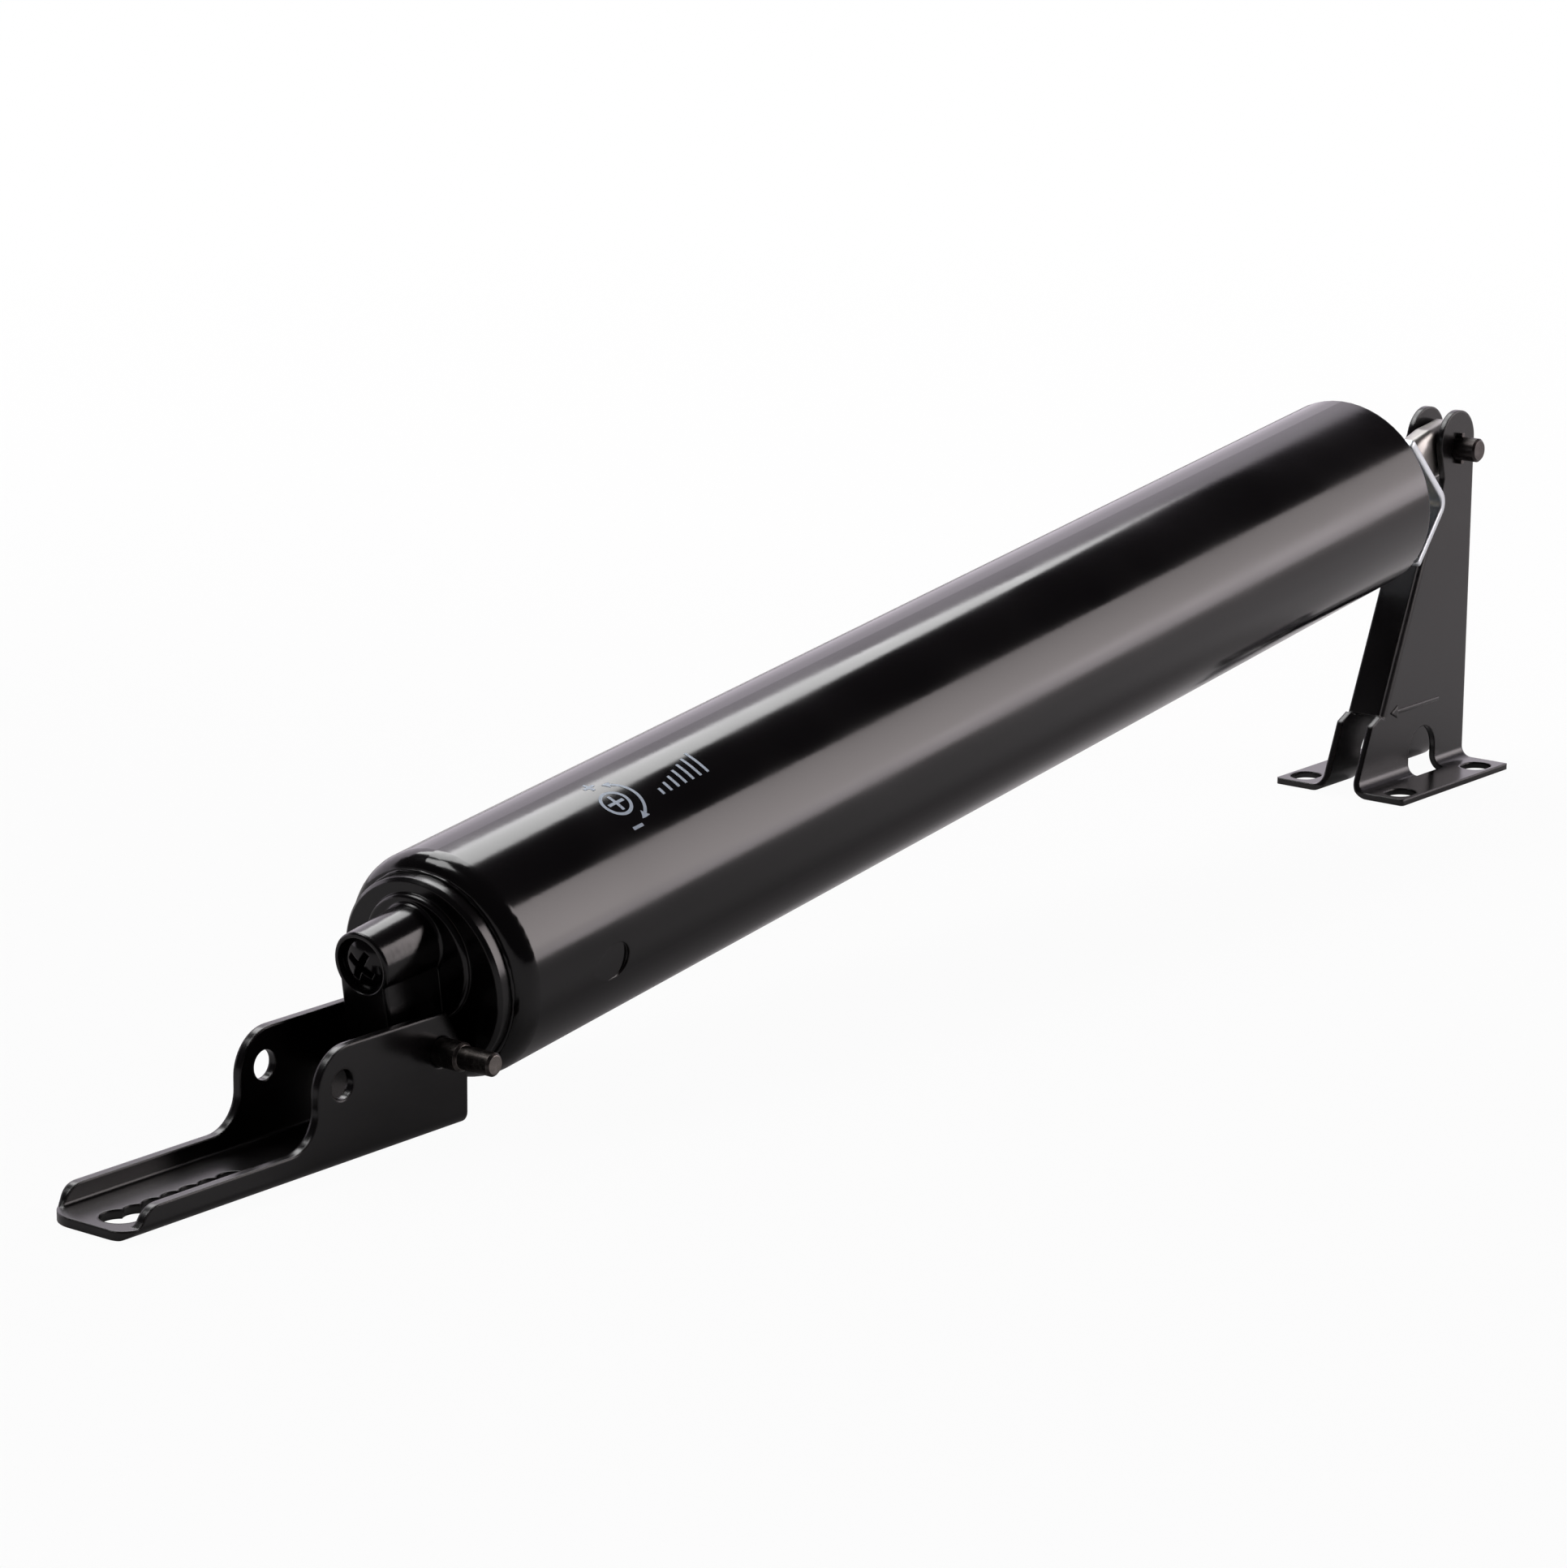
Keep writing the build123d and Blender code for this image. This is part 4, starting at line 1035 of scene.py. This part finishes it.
class CLOSER_OT_studio(bpy.types.Operator):
    """Set up the camera, the softboxes, the backdrop and the floor"""

    bl_idname = "closer.studio"
    bl_label = "Studio"

    clip = (0.01, 50)
    # Right softbox: an axis, two heights or places on it, and the brightness at each
    side_ramps = (
        ("Z", 0.0, 0.19, 0.35, 1.0),
        ("Z", 0.3, 0.9, 1.0, 0.87),
        ("X", 0.7, 1.25, 1.0, 0.64),
    )
    cut_blur = 0.015
    # Backdrop: the slope to its top edge, seen 40 degrees up, the blur of that edge as slopes
    # below and above it, and the brightness of the dim room
    backdrop_slope = 0.84
    backdrop_blur = (-0.04, 0.05)
    room = 0.04
    # Floor: where it starts to hide its shadow and where none is left, how much of it is white
    # over the shadow and in reflections, and where its colour goes from painted shade at the left to
    # painted light at the right
    floor_radius = 4.0
    floor_place = (0.15, 0, -0.3 * MM)
    shadow_reach = (0.25, 0.9)
    white_share = 0.96
    mirror_share = 0.1
    painted_light_reach = (-0.03, 0.27)

    def camera(self, scene):
        """Camera at the photograph's angle."""
        data = bpy.data.cameras.new("photo_camera")
        data.sensor_fit = "HORIZONTAL"
        data.sensor_width = SENSOR_MM
        data.lens = FOCAL_PIXELS / IMAGE_WIDTH * SENSOR_MM
        data.clip_start, data.clip_end = self.clip
        forward = CAMERA_FORWARD.normalized()
        right = forward.cross(CAMERA_UP).normalized()
        above = right.cross(forward)
        turned = Matrix((right, above, -forward)).transposed()
        camera = bpy.data.objects.new("photo_camera", data)
        camera.matrix_world = Matrix.Translation(CAMERA_PLACE) @ turned.to_4x4()
        scene.collection.objects.link(camera)
        scene.camera = camera

    def softbox(self, scene, name, place, facing, along, size, radiance, colour, shade=None):
        """An area lamp whose face has a given brightness, even or shaded over the face."""
        data = bpy.data.lights.new(name, "AREA")
        data.shape = "RECTANGLE"
        data.size, data.size_y = size
        data.energy = pi * size[0] * size[1] * radiance
        data.use_nodes = True
        tree = data.node_tree
        tree.nodes.clear()
        links = {}
        if shade:
            spot = add(tree, "ShaderNodeNewGeometry").outputs["Position"]
            links["Strength"] = shade(tree, spot)
        light = add(tree, "ShaderNodeEmission", {"Color": linear(colour)}, links)
        add(tree, "ShaderNodeOutputLight", links={"Surface": light.outputs["Emission"]})
        lamp = bpy.data.objects.new(name, data)
        out = -facing.normalized()
        wide = (along - out * along.dot(out)).normalized()
        turned = Matrix((wide, out.cross(wide), out))
        lamp.matrix_world = Matrix.Translation(place) @ turned.transposed().to_4x4()
        scene.collection.objects.link(lamp)

    def side_shade(self, tree, spot):
        """Brightest low at its left, dim along its foot and towards its right."""
        parts = add(tree, "ShaderNodeSeparateXYZ", links={"Vector": spot}).outputs
        shares = []
        for axis, start, end, first, last in self.side_ramps:
            values = {"From Min": start, "From Max": end, "To Min": first, "To Max": last}
            share = add(tree, "ShaderNodeMapRange", values, {"Value": parts[axis]})
            shares.append(share.outputs["Result"])
        product = shares[0]
        for share in shares[1:]:
            product = add(
                tree, "ShaderNodeMath", links={0: product, 1: share}, operation="MULTIPLY"
            ).outputs["Value"]
        return product

    def back_shade(self, tree, spot):
        """Even, with its upper right corner cut off."""
        across, rise = self.back_axes
        leaning = (across * cos(BACK_CUT) + rise * sin(BACK_CUT)).normalized()
        reach = add(
            tree, "ShaderNodeVectorMath", {1: tuple(leaning)}, {0: spot}, operation="DOT_PRODUCT"
        ).outputs["Value"]
        edge = leaning.dot(BACK_PLACE + across * BACK_CUT_AT[0] + rise * BACK_CUT_AT[1])
        return add(
            tree,
            "ShaderNodeMapRange",
            {
                "From Min": edge - self.cut_blur,
                "From Max": edge + self.cut_blur,
                "To Min": 1.0,
                "To Max": 0.0,
            },
            {"Value": reach},
        ).outputs["Result"]

    def world(self, scene, backdrop, colour):
        """White to the camera; in reflections a white backdrop behind and a dim room."""
        world = bpy.data.worlds.new("studio_world")
        world.use_nodes = True
        scene.world = world
        tree = world.node_tree
        tree.nodes.clear()
        ray = add(tree, "ShaderNodeLightPath").outputs
        way = add(tree, "ShaderNodeTexCoord").outputs["Generated"]
        height = add(tree, "ShaderNodeSeparateXYZ", links={"Vector": way}).outputs["Z"]
        flat = Vector((CAMERA_FORWARD.x, CAMERA_FORWARD.y, 0)).normalized()
        slope = tuple(flat * self.backdrop_slope)
        edge = add(
            tree, "ShaderNodeVectorMath", {1: slope}, {0: way}, operation="DOT_PRODUCT"
        ).outputs["Value"]
        below = add(
            tree, "ShaderNodeMath", links={0: edge, 1: height}, operation="SUBTRACT"
        ).outputs["Value"]
        low, high = self.backdrop_blur
        white = add(
            tree,
            "ShaderNodeMapRange",
            {"From Min": low, "From Max": high, "To Min": self.room, "To Max": backdrop},
            {"Value": below},
        ).outputs["Result"]
        seen = add(
            tree,
            "ShaderNodeMath",
            links={0: ray["Is Camera Ray"], 1: ray["Is Transmission Ray"]},
            operation="MAXIMUM",
        ).outputs["Value"]
        strength = add(
            tree, "ShaderNodeMix", {"B": 1.0}, {"Factor": seen, "A": white}, data_type="FLOAT"
        ).outputs["Result"]
        tint = add(
            tree,
            "ShaderNodeMix",
            {"A": linear(colour), "B": WHITE},
            {"Factor": seen},
            data_type="RGBA",
        ).outputs["Result"]
        light = add(tree, "ShaderNodeBackground", links={"Color": tint, "Strength": strength})
        add(tree, "ShaderNodeOutputWorld", links={"Surface": light.outputs["Background"]})

    def floor(self, scene, left, right):
        """Pale floor under the brackets, with painted shade to its left and painted light to its
        right, which runs out into the white backdrop.
        """
        work = bmesh.new()
        bmesh.ops.create_circle(work, cap_ends=True, segments=96, radius=self.floor_radius)
        mesh = bpy.data.meshes.new("floor")
        work.to_mesh(mesh)
        work.free()
        floor = bpy.data.objects.new("floor", mesh)
        floor.location = self.floor_place
        material, tree = new_material("table_top_with_painted_light")
        ray = add(tree, "ShaderNodeLightPath").outputs
        place = add(tree, "ShaderNodeTexCoord").outputs["Object"]
        away = add(
            tree, "ShaderNodeVectorMath", links={0: place}, operation="LENGTH"
        ).outputs["Value"]
        near, far = self.shadow_reach
        cover = add(
            tree,
            "ShaderNodeMapRange",
            {"From Min": near, "From Max": far, "To Min": self.white_share, "To Max": 1.0},
            {"Value": away},
        ).outputs["Result"]
        mirrored = add(
            tree,
            "ShaderNodeMath",
            links={0: ray["Is Glossy Ray"], 1: ray["Is Transmission Ray"]},
            operation="MAXIMUM",
        ).outputs["Value"]
        part = add(
            tree, "ShaderNodeMath", {1: self.mirror_share}, {0: mirrored}, operation="MULTIPLY"
        ).outputs["Value"]
        seen = add(
            tree, "ShaderNodeMath", links={0: ray["Is Camera Ray"], 1: part}, operation="MAXIMUM"
        ).outputs["Value"]
        share = add(
            tree, "ShaderNodeMath", links={0: seen, 1: cover}, operation="MULTIPLY"
        ).outputs["Value"]
        # Painted light: the floor's colour is paler towards its right, where the big softbox stands
        # over it, and darker at its left as painted shade
        across = add(tree, "ShaderNodeSeparateXYZ", links={"Vector": place}).outputs["X"]
        start, end = self.painted_light_reach
        painted_light_share = add(
            tree, "ShaderNodeMapRange", {"From Min": start, "From Max": end}, {"Value": across}
        ).outputs["Result"]
        paint_and_painted_light = add(
            tree,
            "ShaderNodeMix",
            {"A": linear(left), "B": linear(right)},
            {"Factor": painted_light_share},
            data_type="RGBA",
        ).outputs["Result"]
        matt = add(tree, "ShaderNodeBsdfDiffuse", links={"Color": paint_and_painted_light}).outputs["BSDF"]
        white = add(tree, "ShaderNodeEmission", {"Color": WHITE}).outputs["Emission"]
        # To the camera the white is the world's, seen through a film that keeps the shadow, so
        # that a bracket swung below the floor shows, and so does the underside from below
        clear = add(tree, "ShaderNodeBsdfTransparent").outputs["BSDF"]
        backing = add(
            tree, "ShaderNodeMixShader", links={0: ray["Is Camera Ray"], 1: white, 2: clear}
        ).outputs["Shader"]
        mixed = add(
            tree, "ShaderNodeMixShader", links={0: share, 1: matt, 2: backing}
        ).outputs["Shader"]
        add(tree, "ShaderNodeOutputMaterial", links={"Surface": mixed})
        mesh.materials.append(material)
        scene.collection.objects.link(floor)

    def execute(self, context):
        scene = context.scene
        settings = scene.closer_studio
        self.camera(scene)
        # Large softbox at the right, square to the viewer's side of the tube
        self.softbox(
            scene,
            "side_softbox",
            SIDE_PLACE,
            Vector((0, 1, 0)),
            Vector((1, 0, 0)),
            SIDE_SIZE,
            settings.side_radiance,
            settings.side_colour,
            self.side_shade,
        )
        # Second one over the back, whose cut corner tapers the highlight off
        facing = (BACK_AIM - BACK_PLACE).normalized()
        across = Vector((0, 0, 1)).cross(facing).normalized()
        rise = facing.cross(across)
        self.back_axes = across, rise
        left, right, low, high = BACK_FACE
        self.softbox(
            scene,
            "back_softbox",
            BACK_PLACE + across * (left + right) / 2 + rise * (low + high) / 2,
            facing,
            across,
            (right - left, high - low),
            settings.back_radiance,
            settings.back_colour,
            self.back_shade,
        )
        # Third one, high and far off at the left, which lights the washer
        self.softbox(
            scene,
            "left_softbox",
            LEFT_PLACE,
            BACK_AIM - LEFT_PLACE,
            LEFT_ALONG,
            LEFT_SIZE,
            settings.left_radiance,
            settings.back_colour,
        )
        self.world(scene, settings.backdrop, settings.backdrop_colour)
        self.floor(scene, settings.floor_left_painted_shade, settings.floor_right_painted_light)
        scene.view_settings.view_transform = "Standard"
        return {"FINISHED"}


STEPS = (
    CLOSER_OT_enamel,
    CLOSER_OT_metals,
    CLOSER_OT_inner,
    CLOSER_OT_spring,
    CLOSER_OT_print,
    CLOSER_OT_arrow,
    CLOSER_OT_seam,
    CLOSER_OT_studio,
)
GROUPS = {
    "closer_enamel": EnamelSettings,
    "closer_metals": MetalSettings,
    "closer_print": PrintSettings,
    "closer_studio": StudioSettings,
}


class CLOSER_PT_panel(bpy.types.Panel):
    """Lists the steps and their settings"""

    bl_idname = "CLOSER_PT_panel"
    bl_label = "Door Closer"
    bl_space_type = "VIEW_3D"
    bl_region_type = "UI"
    bl_category = "Door Closer"

    def draw(self, context):
        for step in STEPS:
            self.layout.operator(step.bl_idname)
        for group in GROUPS:
            settings = getattr(context.scene, group)
            box = self.layout.box()
            for name in settings.__annotations__:
                box.prop(settings, name)


CLASSES = (*GROUPS.values(), *STEPS, CLOSER_PT_panel)


def register():
    for made in CLASSES:
        bpy.utils.register_class(made)
    for name, group in GROUPS.items():
        setattr(bpy.types.Scene, name, PointerProperty(type=group))


def unregister():
    for name in GROUPS:
        delattr(bpy.types.Scene, name)
    for made in reversed(CLASSES):
        bpy.utils.unregister_class(made)


def main():
    """Run every step in order."""
    register()
    bpy.ops.closer.enamel()
    bpy.ops.closer.metals()
    bpy.ops.closer.inner()
    bpy.ops.closer.spring()
    bpy.ops.closer.print()
    bpy.ops.closer.arrow()
    bpy.ops.closer.seam()
    bpy.ops.closer.studio()


if __name__ == "__main__":
    main()
